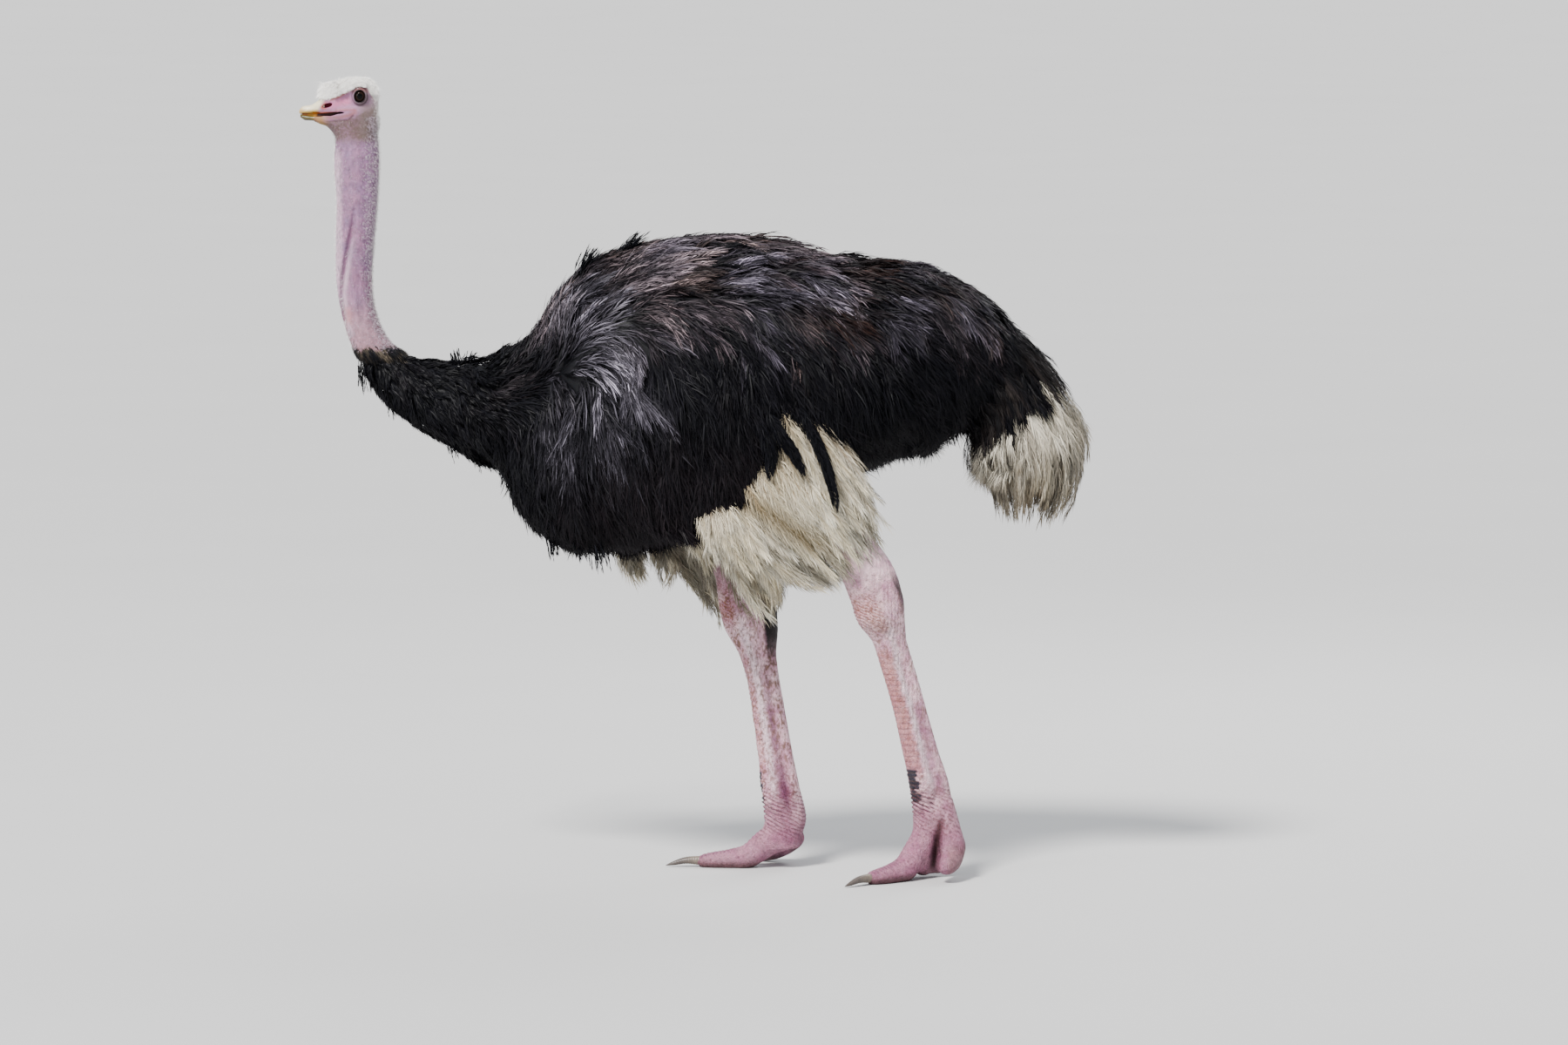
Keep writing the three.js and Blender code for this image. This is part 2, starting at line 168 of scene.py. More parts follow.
class Tube:
    """A tube through stations (x, y, z, half depth, half width), as in the solids."""

    def __init__(self, stations, samples, side=(0, 1, 0), rounded=(0, 0)):
        s = np.array(stations, float)
        p = s[:, :3]
        knots = np.concatenate([[0], np.cumsum(np.sqrt(np.linalg.norm(np.diff(p, axis=0), axis=1)))])
        u = np.linspace(0, knots[-1], samples)
        ext = np.vstack([2 * p[0] - p[1], p, 2 * p[-1] - p[-2]])
        kx = np.concatenate([[2 * knots[0] - knots[1]], knots, [2 * knots[-1] - knots[-2]]])
        i = np.clip(np.searchsorted(knots, u, side="right") - 1, 0, len(p) - 2)
        t0, t1, t2, t3 = (kx[i + k][:, None] for k in range(4))
        p0, p1, p2, p3 = (ext[i + k] for k in range(4))
        t = u[:, None]
        a1 = (t1 - t) / (t1 - t0) * p0 + (t - t0) / (t1 - t0) * p1
        a2 = (t2 - t) / (t2 - t1) * p1 + (t - t1) / (t2 - t1) * p2
        a3 = (t3 - t) / (t3 - t2) * p2 + (t - t2) / (t3 - t2) * p3
        b1 = (t2 - t) / (t2 - t0) * a1 + (t - t0) / (t2 - t0) * a2
        b2 = (t3 - t) / (t3 - t1) * a2 + (t - t1) / (t3 - t1) * a3
        self.centre = (t2 - t) / (t2 - t1) * b1 + (t - t1) / (t2 - t1) * b2
        self.along = unit(np.gradient(self.centre, axis=0))
        across = np.array(side, float) - (self.along @ np.array(side, float))[:, None] * self.along
        self.across = unit(across)
        self.fore = np.cross(self.along, self.across)
        self.u = np.linspace(0, 1, samples)
        share = knots / knots[-1]
        self.deep = through(*zip(share, s[:, 3]))(self.u)
        self.wide = through(*zip(share, s[:, 4]))(self.u)
        dome = np.ones(samples)
        if rounded[0]:
            dome *= np.sqrt(np.clip(1 - np.clip(1 - self.u / rounded[0], 0, 1) ** 2, 0.01, 1))
        if rounded[1]:
            dome *= np.sqrt(np.clip(1 - np.clip(1 - (1 - self.u) / rounded[1], 0, 1) ** 2, 0.01, 1))
        self.deep, self.wide = self.deep * dome, self.wide * dome
        self.length = np.linalg.norm(np.diff(self.centre, axis=0), axis=1).sum()

    def place(self, t, depth, width):
        """Points at a share t of the way along, and at shares of the half depth and half width."""
        t = np.clip(t, 0, 1)
        pick = lambda v: np.stack([np.interp(t, self.u, v[:, k]) for k in range(3)], -1)
        d = np.interp(t, self.u, self.deep) * depth
        w = np.interp(t, self.u, self.wide) * width
        return pick(self.centre) + pick(self.fore) * d[..., None] + pick(self.across) * w[..., None]

    def distance(self, p, grow=0.0):
        shape = p.shape[:-1]
        q = p.reshape(-1, 3).astype(FLOAT)
        out = np.empty(len(q), FLOAT)
        c = self.centre.astype(FLOAT)
        half = (c * c).sum(1) / 2
        step = self.length / (len(c) - 1)
        for k in range(0, len(q), 400000):
            part = q[k : k + 400000]
            near = np.argmin(half - part @ c.T, axis=1)
            d = part - c[near]
            a = np.einsum("ij,ij->i", d, self.fore[near].astype(FLOAT))
            b = np.einsum("ij,ij->i", d, self.across[near].astype(FLOAT))
            t = np.einsum("ij,ij->i", d, self.along[near].astype(FLOAT))
            ring = oval(a, b, self.deep[near].astype(FLOAT) + grow, self.wide[near].astype(FLOAT) + grow)
            past = np.maximum(np.abs(t) - step, 0)
            out[k : k + 400000] = np.where(ring > 0, np.hypot(ring, past), np.where(past > 0, past, ring))
        return out.reshape(shape)


def loft(p, top, bottom, half, power=2.2, grow=0.0):
    """Distance to a body along X given by its top, bottom and half-width curves."""
    x, y, z = p[..., 0], p[..., 1], p[..., 2]
    high, low = top(x) + grow, bottom(x) - grow
    tall = np.maximum((high - low) / 2, 1)
    return oval(z - (high + low) / 2, y, tall, np.maximum(half(x) + grow, 1), power)


def surface(field, low, high, voxel, block=8):
    """Vertices and four-sided faces where the field is zero inside the box."""
    low, high = np.array(low, float), np.array(high, float)
    counts = (np.ceil((high - low) / voxel / block).astype(int)) * block
    coarse = [low[k] + voxel * (block * np.arange(counts[k] // block) + (block - 1) / 2) for k in range(3)]
    rough = field(np.stack(np.meshgrid(*coarse, indexing="ij"), -1).astype(FLOAT))
    values = np.kron(rough, np.ones((block,) * 3, FLOAT)).astype(FLOAT)
    near = np.argwhere(np.abs(rough) < voxel * block * 1.35)
    inner = np.stack(np.meshgrid(*[np.arange(block)] * 3, indexing="ij"), -1)
    for i in range(0, len(near), 1500):
        cells = near[i : i + 1500, None, None, None, :] * block + inner
        fine = field((low + voxel * cells).astype(FLOAT))
        values[cells[..., 0], cells[..., 1], cells[..., 2]] = fine
    for axis in range(3):
        ends = [slice(None)] * 3
        for end in (0, -1):
            ends[axis] = end
            values[tuple(ends)] = np.maximum(values[tuple(ends)], voxel)
    grid = openvdb.FloatGrid(3 * voxel)
    grid.copyFromArray(np.clip(values, -3 * voxel, 3 * voxel))
    points, quads = grid.convertToQuads(0.0)
    points = points.astype(float) * voxel + low
    a, b, c, d = (points[quads[:, k]] for k in range(4))
    if (np.einsum("ij,ij->i", a, np.cross(b, c)) + np.einsum("ij,ij->i", a, np.cross(c, d))).sum() < 0:
        quads = quads[:, ::-1]
    return points, quads


# ---------------------------------------------------------------- the bird's outline, as in the solids
# curves hold (x, height) or (x, half width)

BACK = through(
    (-452, 1060), (-405, 1168), (-360, 1240), (-317, 1313), (-218, 1399), (-81, 1440), (50, 1448),
    (195, 1434), (293, 1407), (470, 1389), (549, 1369), (608, 1340), (667, 1294), (769, 1172),
)
BELLY = through(
    (-452, 970), (-425, 872), (-366, 778), (-268, 729), (-100, 742), (96, 806), (230, 872), (360, 908),
    (450, 942), (525, 960), (560, 988), (640, 1030), (769, 1128),
)
GIRTH = through(
    (-452, 45), (-405, 120), (-317, 182), (-199, 222), (50, 243), (293, 234), (490, 196), (647, 128),
    (720, 78), (769, 18),
)
WING_TOP = through((-330, 1150), (-250, 1270), (-50, 1345), (200, 1330), (400, 1210), (500, 1090))
WING_EDGE = through(
    (-330, 1060), (-250, 905), (-60, 800), (60, 800), (160, 890), (300, 960), (500, 1040)
)
CROWN = through(
    (-850, 1752), (-846, 1774), (-836, 1787), (-806, 1794), (-767, 1800), (-745, 1799), (-730, 1786),
    (-721, 1762), (-716, 1730),
)
JAW = through(
    (-850, 1704), (-842, 1698), (-828, 1684), (-806, 1663), (-780, 1652), (-745, 1656), (-716, 1690)
)
SKULL_HALF = through(
    (-850, 21), (-838, 27), (-806, 35), (-780, 40), (-757, 41), (-735, 36), (-722, 26), (-716, 15)
)
BILL_HALF = through((-895, 6), (-889, 12), (-872, 17), (-845, 23), (-806, 27))
UPPER_TOP = through((-895, 1728), (-888, 1735), (-870, 1738), (-845, 1750), (-806, 1762))
UPPER_EDGE = through((-895, 1719.6), (-880, 1718.6), (-865, 1719.5), (-828, 1722), (-806, 1724))
LOWER_EDGE = through((-892, 1717.6), (-880, 1716.6), (-865, 1715.8), (-828, 1715), (-806, 1720))
LOWER_KEEL = through((-892, 1709), (-882, 1703), (-865, 1702), (-845, 1696), (-806, 1684))
EYE = np.array([-757.5, 24.0, 1760.0])
EYE_RADIUS = 23.0

# tubes hold (x, y, z, half depth, half width)
NECK = [
    (-766, 0, 1698, 44, 34), (-767, 0, 1610, 50.5, 38), (-767, 0, 1520, 46, 37), (-772, 0, 1430, 43, 36),
    (-774, 0, 1340, 40, 35), (-764, 0, 1268, 38, 35), (-737, 0, 1195, 40, 39), (-686, 0, 1128, 59, 52),
    (-616, 0, 1089, 82, 72), (-529, 0, 1062, 105, 96), (-450, 0, 1052, 124, 122), (-370, 0, 1060, 140, 138),
]
TAIL = [
    (600, 0, 1190, 110, 96), (706, 0, 1088, 122, 112), (742, 0, 989, 147, 122), (755, 0, 911, 125, 104),
    (748, 0, 856, 86, 66), (741, 0, 812, 40, 24),
]
LEGS = {
    "left": dict(
        side=-1, ball=(533, -100, 112), out=math.radians(42), lift=24, hock=600,
        stations=[
            (95, -150, 985, 84, 70), (200, -164, 868, 78, 64), (300, -158, 772, 66, 54),
            (380, -150, 698, 53, 42), (405, -144, 628, 57, 39), (414, -140, 592, 50, 36),
            (436, -134, 527, 36, 29), (475, -123, 395, 36, 26), (502, -115, 289, 39, 28),
            (523, -109, 208, 44, 33), (532, -103, 135, 45, 38), (533, -100, 84, 30, 30),
        ],
    ),
    "right": dict(
        side=1, ball=(198, 42, 84), out=math.radians(2), lift=0, hock=580,
        stations=[
            (15, 150, 985, 84, 70), (45, 148, 850, 76, 62), (78, 130, 735, 62, 50),
            (100, 110, 650, 59, 41), (113, 97, 588, 64, 40), (120, 90, 545, 60, 38),
            (137, 83, 476, 40, 31), (150, 74, 415, 36, 27), (175, 60, 260, 39, 28),
            (187, 52, 182, 43, 33), (198, 45, 112, 47, 38), (198, 42, 58, 32, 30),
        ],
    ),
}
# toes hold (forwards, outwards, share of the ball's height, height, half depth, half width)
BIG_TOE = [
    (-6, 0, 0.95, 0, 36, 32), (40, 0, 0.54, 12, 32, 29), (84, 0, 0.15, 13, 27, 31), (128, 0, 0, 17, 23, 28),
    (172, 0, 0, 14, 18, 23), (202, 0, 0, 12, 13, 15),
]
SMALL_TOE = [
    (-22, 30, 0.84, 0, 24, 22), (-12, 54, 0.58, 8, 26, 25), (18, 77, 0.24, 14, 24, 25),
    (50, 96, 0.04, 16, 19, 21), (72, 108, 0, 14, 13, 14),
]
CLAW = [(188, 0, 0, 14, 11, 10.5), (226, 0, 0, 14, 8, 9), (256, 0, 0, 7, 4.5, 5), (271, 0, 0, 3, 1.2, 1.2)]
SMALL_TOE_REACH = 72
SCUTE_PITCH, COMB_PITCH = 12.5, 9.5  # plates down the shank, and the dark ones above the foot
HOCK_RINGS = (12, 71, 8.0)  # size and seed of the waver, and pitch
ANKLE_WAVER = (16, 83)
SHANK_TURN = 0.75  # how far the shank turns with the foot
COAT_DEPTH = 27.0
TRUNK_START, TRUNK_END = -452, 769
WING_START, WING_END = -330, 500
COLLAR_FRONT, COLLAR_REAR = (-737, 1183), -672  # the edge's front end, and where it ends on the nape


def toe_axes(leg):
    """Level directions along the big toe, and outwards to the small one."""
    along, aside = math.cos(leg["out"]), math.sin(leg["out"])
    return np.array([-along, leg["side"] * aside, 0]), np.array([aside, leg["side"] * along, 0])


def digit(leg, rows, **options):
    """A toe or a claw, through rows of (forwards, outwards, share of the ball's height, height, half depth,
    half width)."""
    x, y, z = leg["ball"]
    ahead, outward = toe_axes(leg)
    lift = leg["lift"] if rows is SMALL_TOE else 0
    stations = []
    for forwards, outwards, share, height, deep, wide in rows:
        px, py, _ = np.array([x, y, 0]) + ahead * forwards + outward * outwards
        stations.append(
            (px, py, share * z + height + lift * max(forwards, 0) / SMALL_TOE_REACH, deep, wide)
        )
    return Tube(stations, side=outward, **options)


def seam(rows):
    """1 where a row of plates ends and the next begins, 0 in its middle."""
    return np.abs(rows % 1 - 0.5) * 2


def ripple(p, along, size, seed, pitch):
    """Wavering folds across a limb."""
    return np.sin((along + 3 * noise(p, size, seed)) * 2 * math.pi / pitch)


neck_tube = Tube(NECK, samples=140)
tail_tube = Tube(TAIL, samples=60, rounded=(0.12, 0.08))


def wing_distance(p, grow):
    """Both folded wings: long flat lobes on the flanks."""
    x, y, z = p[..., 0], np.abs(p[..., 1]), p[..., 2]
    u = np.clip((x - WING_START) / (WING_END - WING_START), 0, 1)
    dome = np.sqrt(np.clip(1 - np.clip(1 - u / 0.12, 0, 1) ** 2, 0.02, 1))
    dome = dome * np.sqrt(np.clip(1 - np.clip(1 - (1 - u) / 0.12, 0, 1) ** 2, 0.02, 1))
    tall = np.maximum((WING_TOP(x) - WING_EDGE(x)) / 2 * dome + grow, 2)
    d = oval(
        z - (WING_TOP(x) + WING_EDGE(x)) / 2, y - (GIRTH(x) - 42), tall, np.maximum(72 * dome + grow, 2)
    )
    return np.maximum(d, np.maximum(WING_START - x, x - WING_END))


def body_distance(p, grow=-COAT_DEPTH):
    """The feathered body: trunk, wings, root of the neck and stump of the tail, grown or shrunk."""
    x = p[..., 0]
    d = loft(p, BACK, BELLY, GIRTH, grow=grow)
    d = np.maximum(d, np.maximum(TRUNK_START - grow - x, x - TRUNK_END - grow))
    d = merge(d, wing_distance(p, grow + 4), 22)
    root = neck_tube.distance(p, grow * 0.6)
    root = np.maximum(root, -740 - x)
    d = merge(d, root, 30)
    tail = tail_tube.distance(p, grow * 1.6)
    return merge(d, np.maximum(tail, 960 - p[..., 2]), 24)


def collar(p):
    """How far a place is past the edge where the bare neck ends and the plumage starts."""
    x, z = COLLAR_FRONT
    return np.maximum((p[..., 0] - x) * 0.05 - (p[..., 2] - z), p[..., 0] - COLLAR_REAR)


def gradient(field, p, step=3.0):
    """The direction in which the distance grows fastest."""
    rise = [field(p + step * np.eye(3)[k]) - field(p - step * np.eye(3)[k]) for k in range(3)]
    return unit(np.stack(rise, -1))


# ---------------------------------------------------------------- skin


def strokes(p, line, width):
    """How near a point is, seen from the side, to a line of (x, z) points: 1 on it, 0 away from it."""
    best = np.full(p.shape[:-1], 1e9, FLOAT)
    for (x0, z0), (x1, z1) in zip(line[:-1], line[1:]):
        reach = (p[..., 0] - x0) * (x1 - x0) + (p[..., 2] - z0) * (z1 - z0)
        along = np.clip(reach / ((x1 - x0) ** 2 + (z1 - z0) ** 2), 0, 1)
        gap = (p[..., 0] - x0 - along * (x1 - x0)) ** 2 + (p[..., 2] - z0 - along * (z1 - z0)) ** 2
        best = np.minimum(best, gap)
    return np.exp(-best / width**2)


# lines on the skin, seen from the side, as (x, z)
LID = np.array([11.8, 13.4])  # half sizes of the opening between the lids
BROW = [(-826, 1751), (-806, 1758), (-787, 1769), (-770, 1781), (-757, 1784)]
GAPE = [(-804, 1723), (-792, 1726), (-779, 1729), (-766, 1729)]
JAW_FOLD = [(-772, 1716), (-784, 1706), (-806, 1704), (-832, 1702)]
WINDPIPE_FURROW = [(-766, 1530), (-775, 1474), (-788, 1411), (-800, 1348), (-805, 1301), (-797, 1254)]
WINDPIPE_RIDGE = [(-770, 1458), (-786, 1380), (-795.6, 1317), (-791, 1270), (-781, 1223)]


def nostril(x, z):
    """Distances along and across the slit of the nostril."""
    rise = math.radians(17)
    dx, dz = x + 830, z - 1738.5
    return dx * math.cos(rise) + dz * math.sin(rise), -dx * math.sin(rise) + dz * math.cos(rise)


def head_and_neck(p):
    """The bare skin of head and neck, with the lids, the nostrils and the open mouth."""
    x, away, z = p[..., 0], np.abs(p[..., 1]), p[..., 2]
    q = np.stack([x, away, z], -1)
    fluff = 6 * ease(z, 1745, 1775)
    skull = loft(p, CROWN, JAW, SKULL_HALF) + fluff
    skull = np.maximum(skull, np.maximum(-846 + 3 * ease(z, 1735, 1760) - x, x + 719))
    # the sleeve of skin round the root of the bill, its edge thinning onto the horn
    sleeve = 1.9 * ease(x, -868, -846) - 0.9
    snout = loft(p, UPPER_TOP, UPPER_EDGE, BILL_HALF, 2.4, 1.2) - sleeve
    snout = merge(np.maximum(snout, np.maximum(-866 - x, x + 806)), skull, 9)
    jaw = loft(p, LOWER_EDGE, LOWER_KEEL, BILL_HALF, 2.4, 1.2) - sleeve
    jaw = np.maximum(jaw, np.maximum(-862 - x, x + 806))
    d = merge(snout, jaw, 3)
    # neck, thinner where the plumage covers it
    neck = neck_tube.distance(p) + 14 * ease(collar(p), 0, 34) + 6 * ease(x, -664, -646)
    d = merge(d, neck, 12)
    # brow, cheek and the bulge of the lids
    brow = [(-812, 30.5, 1757), (-798, 35, 1763), (-783, 38.5, 1773), (-767, 38, 1783), (-750, 36, 1784)]
    for a, b in zip(brow[:-1], brow[1:]):
        middle = np.add(a, b) / 2
        d = merge(d, blob(q, middle, (10, 4.5, 6)), 7)
    d = merge(d, blob(q, (-770, 33, 1722), (26, 10, 15)), 10)
    from_eye = np.linalg.norm(q - EYE.astype(FLOAT), axis=-1)
    d = merge(d, from_eye - (EYE_RADIUS + 2.6), 7)
    across = np.sqrt(((x - EYE[0]) / LID[0]) ** 2 + ((z - EYE[2] - 0.08 * (x - EYE[0])) / LID[1]) ** 2)
    rim = np.hypot((across - 1.14) * 12.5, from_eye - (EYE_RADIUS + 2.4)) - 2.3
    d = merge(d, np.where(away > 15, rim, 50), 3)
    crease = np.exp(-(((across - 1.50) * 12.5) ** 2) / 1.8**2) * (away > 18) * ease(z, 1742, 1752)
    d = d + 1.5 * crease
    d = d + 0.9 * np.exp(-(((across - 1.62) * 12.5) ** 2) / 2.0**2) * (away > 18) * ease(z, 1752, 1742)
    d = np.maximum(d, -np.where(away > 22, (across - 1) * 12.5, 40))
    # nostrils
    along, across_slit = nostril(x, z)
    slit = np.stack([along, away - 24.5, across_slit], -1)
    d = merge(d, blob(slit, (0, 0, 0), (14, 6, 7)), 4)
    d = carve(d, blob(slit, (0, 2, 0), (12.5, 8.5, 5.0)), 1.5)
    # mouth: a slot each side, with its lining left in the middle
    upper, lower = UPPER_EDGE(x), LOWER_EDGE(x)
    middle = (upper + lower) / 2
    gap = np.maximum(((upper - lower) / 2 + 0.9 * hump(x + 822, 20)) * ease(x, -786, -806), 0.05)
    inner = BILL_HALF(x) - 7
    slot = np.maximum(np.maximum(np.abs(z - middle) - gap, inner - away), x + 791)
    d = carve(d, slot, 1.0)
    lining = np.maximum(
        np.maximum(np.abs(z - middle) - 6, away - inner + 1 - 3 * ease(x, -866, -878)),
        np.maximum(-889 - x, x + 780),
    )
    d = merge(d, lining, 1.5)
    # folds of the face
    d = d - 1.3 * strokes(p, [(-806, 1727), (-790, 1729), (-772, 1730)], 3.0) * (away > 15)
    d = d + 1.0 * strokes(p, GAPE, 1.8) * (away > 15)
    d = d + 1.3 * strokes(p, JAW_FOLD, 2.4) * (away > 12)
    d = d + 0.9 * strokes(p, [(-800, 1748), (-786, 1742), (-768, 1738), (-750, 1740)], 3) * (away > 20)
    # neck furrows: the windpipe stands forward of the neck's muscles
    for line, depth, width in (
        (WINDPIPE_FURROW, 6.5, 5.0),
        (WINDPIPE_RIDGE, -1.8, 6.0),
        ([(-748, 1640), (-745, 1560), (-748, 1470)], 1.6, 7.0),
        ([(-792, 1640), (-788, 1600), (-784, 1545)], 1.3, 6.0),
        ([(-762, 1400), (-764, 1330), (-750, 1260)], 1.3, 7.0),
        ([(-802, 1660), (-780, 1648), (-750, 1650)], 1.6, 4.5),
    ):
        top = line[0][1]
        d = d + depth * strokes(p, line, width) * ease(away, 8, 20) * ease(z, top + 6, top - 70)
    return np.maximum(d, 1118 - z)


def leg_field(leg):
    """The bare leg and foot, as a function of places."""
    stations = np.array(leg["stations"][::-1], float)
    z = stations[:, 2]
    cx, cy = (through(*zip(z, stations[:, k])) for k in (0, 1))
    slope = np.gradient(stations[:, 0], z)
    fore = through(*zip(z, stations[:, 3] * np.sqrt(1 + slope**2)))
    side = through(*zip(z, stations[:, 4]))
    hock = leg["hock"]
    big = digit(leg, BIG_TOE, samples=40, rounded=(0.08, 0.1))
    small = digit(leg, SMALL_TOE, samples=30, rounded=(0.1, 0.16))
    x0, y0, z0 = leg["ball"]
    ahead, outward = toe_axes(leg)
    end = z[0] - 12
    yaw = SHANK_TURN * leg["out"]

    def field(p):
        x, y, h = p[..., 0], p[..., 1], p[..., 2]
        hz = np.maximum(h, z[0])
        a, b, f, s = x - cx(hz), y - cy(hz), fore(hz), side(hz)
        whole = oval(a, b, f, s)
        bone = oval(a + 0.27 * f, b, 0.73 * f, s * 0.98)
        tendon = oval(a - 0.52 * f, b, 0.48 * f, s * 0.62)
        shank = merge(bone, tendon, 5)
        w = ease(h, hock - 60, hock - 130) * ease(h, z[0] + 30, z[0] + 90)
        d = whole * (1 - w) + shank * w
        # the joint: knobs each side, a pad behind it, and a hollow before the tendon above it
        knob = blob(np.stack([a, np.abs(b), h - hock], -1), (-6, 30, -4), (30, 14, 34))
        d = merge(d, knob, 12)
        d = d + 3.0 * hump(a - 16, 9) * ease(h, hock + 30, hock + 60) * ease(h, hock + 190, hock + 120)
        d = np.where(h < end, np.hypot(np.maximum(d, 0), end - h), d)
        # folds of the front of the ankle, and the scutes down the shank
        turned = -(a / f) * math.cos(yaw) + (b * leg["side"] / s) * math.sin(yaw)
        front = ease(turned, 0.42, 0.68)
        swell = blob(np.stack([a, b, h - hock], -1), (-30, 0, -6), (26, 26, 40))
        d = merge(d, np.where(np.abs(h - hock) < 90, swell, 60), 14)
        circles = ripple(p, h + 0.5 * a, *HOCK_RINGS)
        d = d + 1.3 * circles * hump(h - hock - 8, 42) * ease(turned, 0.25, 0.65)
        folds = ease(h, z0 + 26, z0 + 40) * ease(h, z0 + 88, z0 + 66)
        wave = np.sin((h + 0.3 * a + 2.5 * np.sin(b / 9)) * 2 * math.pi / 10.5)
        d = d + folds * ease(turned, -0.3, 0.5) * wave * 3.0
        plates = ease(h, z0 + 88, z0 + 96) * ease(h, hock - 70, hock - 110)
        level = h - 0.1 * np.abs(b)
        d = d + front * plates * (1.4 * ease(seam(level / SCUTE_PITCH), 0.68, 0.95) - 0.6)
        comb = ease(h, z0 + 60, z0 + 66) * ease(h, z0 + 132, z0 + 124) * ease(turned, 0.55, 0.75)
        d = d + comb * (1.8 * ease(seam(level / COMB_PITCH), 0.6, 0.95) - 0.9)
        creases = ripple(p, h + 0.5 * a, *ANKLE_WAVER, 8.0)
        d = d + 1.1 * creases * ease(h, z0 + 110, z0 + 70) * ease(h, z0 - 60, z0 - 20)
        # toes, their pads and the flat soles
        toe = merge(big.distance(p), d, 16)
        side_toe = small.distance(p)
        q = p - np.array([x0, y0, 0], FLOAT)
        u, v = q @ ahead.astype(FLOAT), q @ outward.astype(FLOAT)
        for at, size in ((96, (26, 27, 16)), (158, (24, 22, 12))):
            toe = merge(toe, blob(np.stack([u, v, h], -1), (at, 0, 13), size), 6)
        if leg["lift"]:
            toe = merge(toe, capsule(p, (528, -106, 128), (509, -120, 38), 36, 33), 12)
            toe = merge(toe, capsule(p, (548, -112, 158), (572, -146, 78), 32, 31), 8)
            toe = merge(toe, capsule(p, (545, -104, 90), (540, -104, 34), 30, 27), 12)
        d = merge(toe, side_toe, 8)
        if leg["lift"]:
            groove = hump(x - 541 - 0.15 * (h - 90), 9) * ease(h, 158, 120) * ease(h, 6, 26)
            d = d + 6.0 * groove * ease(y, -104, -126)
        d = d + 0.5 * noise(p, 5, 91) * ease(h, hock + 120, hock + 60)
        ring = np.sin(u * 2 * math.pi / 8.5)
        top = ease(h, 14, 34) * ease(u, 24, 44) * ease(u, 205, 180) * ease(np.abs(v), 34, 20)
        d = d + 0.8 * top * ring
        return np.maximum(np.maximum(d, -h), h - 930)

    return field


def joined_mesh(name, parts):
    """One mesh object from closed shells, unioned so that none is left inside another."""
    made = []
    for k, (points, quads) in enumerate(parts):
        made.append(mesh_object(f"{name}_{k}", points, quads))
    base = made[0]
    for other in made[1:]:
        cut = base.modifiers.new("join", "BOOLEAN")
        cut.operation = "UNION"
        cut.solver = "MANIFOLD"
        cut.object = other
    thin = base.modifiers.new("thin", "DECIMATE")
    thin.ratio = min(1.0, SKIN_TRIANGLES / (2 * sum(len(quads) for _, quads in parts)))
    baked = bpy.data.meshes.new_from_object(base.evaluated_get(bpy.context.evaluated_depsgraph_get()))
    for o in made:
        bpy.data.objects.remove(o)
    baked.name = name
    baked.materials.clear()
    obj = bpy.data.objects.new(name, baked)
    bpy.context.scene.collection.objects.link(obj)
    baked.shade_smooth()
    return obj


def mesh_object(name, points, faces, smooth=True):
    """An object in the scene, from places in the solids' own millimetres."""
    mesh = bpy.data.meshes.new(name)
    faces = np.asarray(faces)
    mesh.vertices.add(len(points))
    mesh.vertices.foreach_set("co", to_frame(points).astype(FLOAT).ravel())
    mesh.loops.add(faces.size)
    mesh.loops.foreach_set("vertex_index", faces.astype(np.int32).ravel())
    mesh.polygons.add(len(faces))
    mesh.polygons.foreach_set("loop_start", (np.arange(len(faces)) * faces.shape[1]).astype(np.int32))
    mesh.update(calc_edges=True)
    if smooth:
        mesh.shade_smooth()
    obj = bpy.data.objects.new(name, mesh)
    bpy.context.scene.collection.objects.link(obj)
    return obj


def vertices_of(obj):
    """Vertex places in the solids' own millimetres."""
    co = np.empty(len(obj.data.vertices) * 3, FLOAT)
    obj.data.vertices.foreach_get("co", co)
    return co.reshape(-1, 3).astype(float) * 1000 - SHIFT


def colour_by_point(obj, name, rgb):
    attribute = obj.data.attributes.new(name, "FLOAT_COLOR", "POINT")
    rgba = np.ones((len(rgb), 4), FLOAT)
    rgba[:, :3] = rgb
    attribute.data.foreach_set("color", rgba.ravel())


# ---------------------------------------------------------------- markings, shared by skin and coat


def srgb(r, g, b):
    c = np.array([r, g, b], float) / 255
    return np.where(c <= 0.04045, c / 12.92, ((c + 0.055) / 1.055) ** 2.4)


def mix(a, b, w):
    return a + (b - a) * np.asarray(w)[..., None]


LILAC = srgb(138, 116, 138)
PINK = srgb(190, 138, 150)
LEG_PINK = srgb(226, 200, 206)
LEG_DIRT = srgb(112, 92, 80)
SCUTE_RED = srgb(172, 126, 124)
SLATE = srgb(44, 46, 54)
INK = srgb(6, 6, 10)
WHITE_DOWN = srgb(250, 248, 244)
THIGH = srgb(164, 132, 126)
VIVID_SKIN = (1.4, 0.78)


def crown_line(x):
    """Height at which the down of the crown starts."""
    at = [-862, -850, -826, -806, -787, -770, -757, -742, -725]
    return np.interp(x, at, [1752, 1753, 1753, 1760, 1770, 1780, 1783, 1779, 1748])


def even(colour, count):
    """The same colour for every place."""
    return np.tile(colour, (count, 1))


def layers(rgb, *tones):
    """Tones laid one over another: the tone, and how much of it shows."""
    for tone, share in tones:
        rgb = mix(rgb, srgb(*tone), share)
    return rgb


def vivid(rgb, share, light):
    """Colours moved away from grey by the share, and then darkened or lightened."""
    grey = rgb.mean(-1, keepdims=True)
    return np.clip((grey + (rgb - grey) * share) * light, 0.002, 0.95)


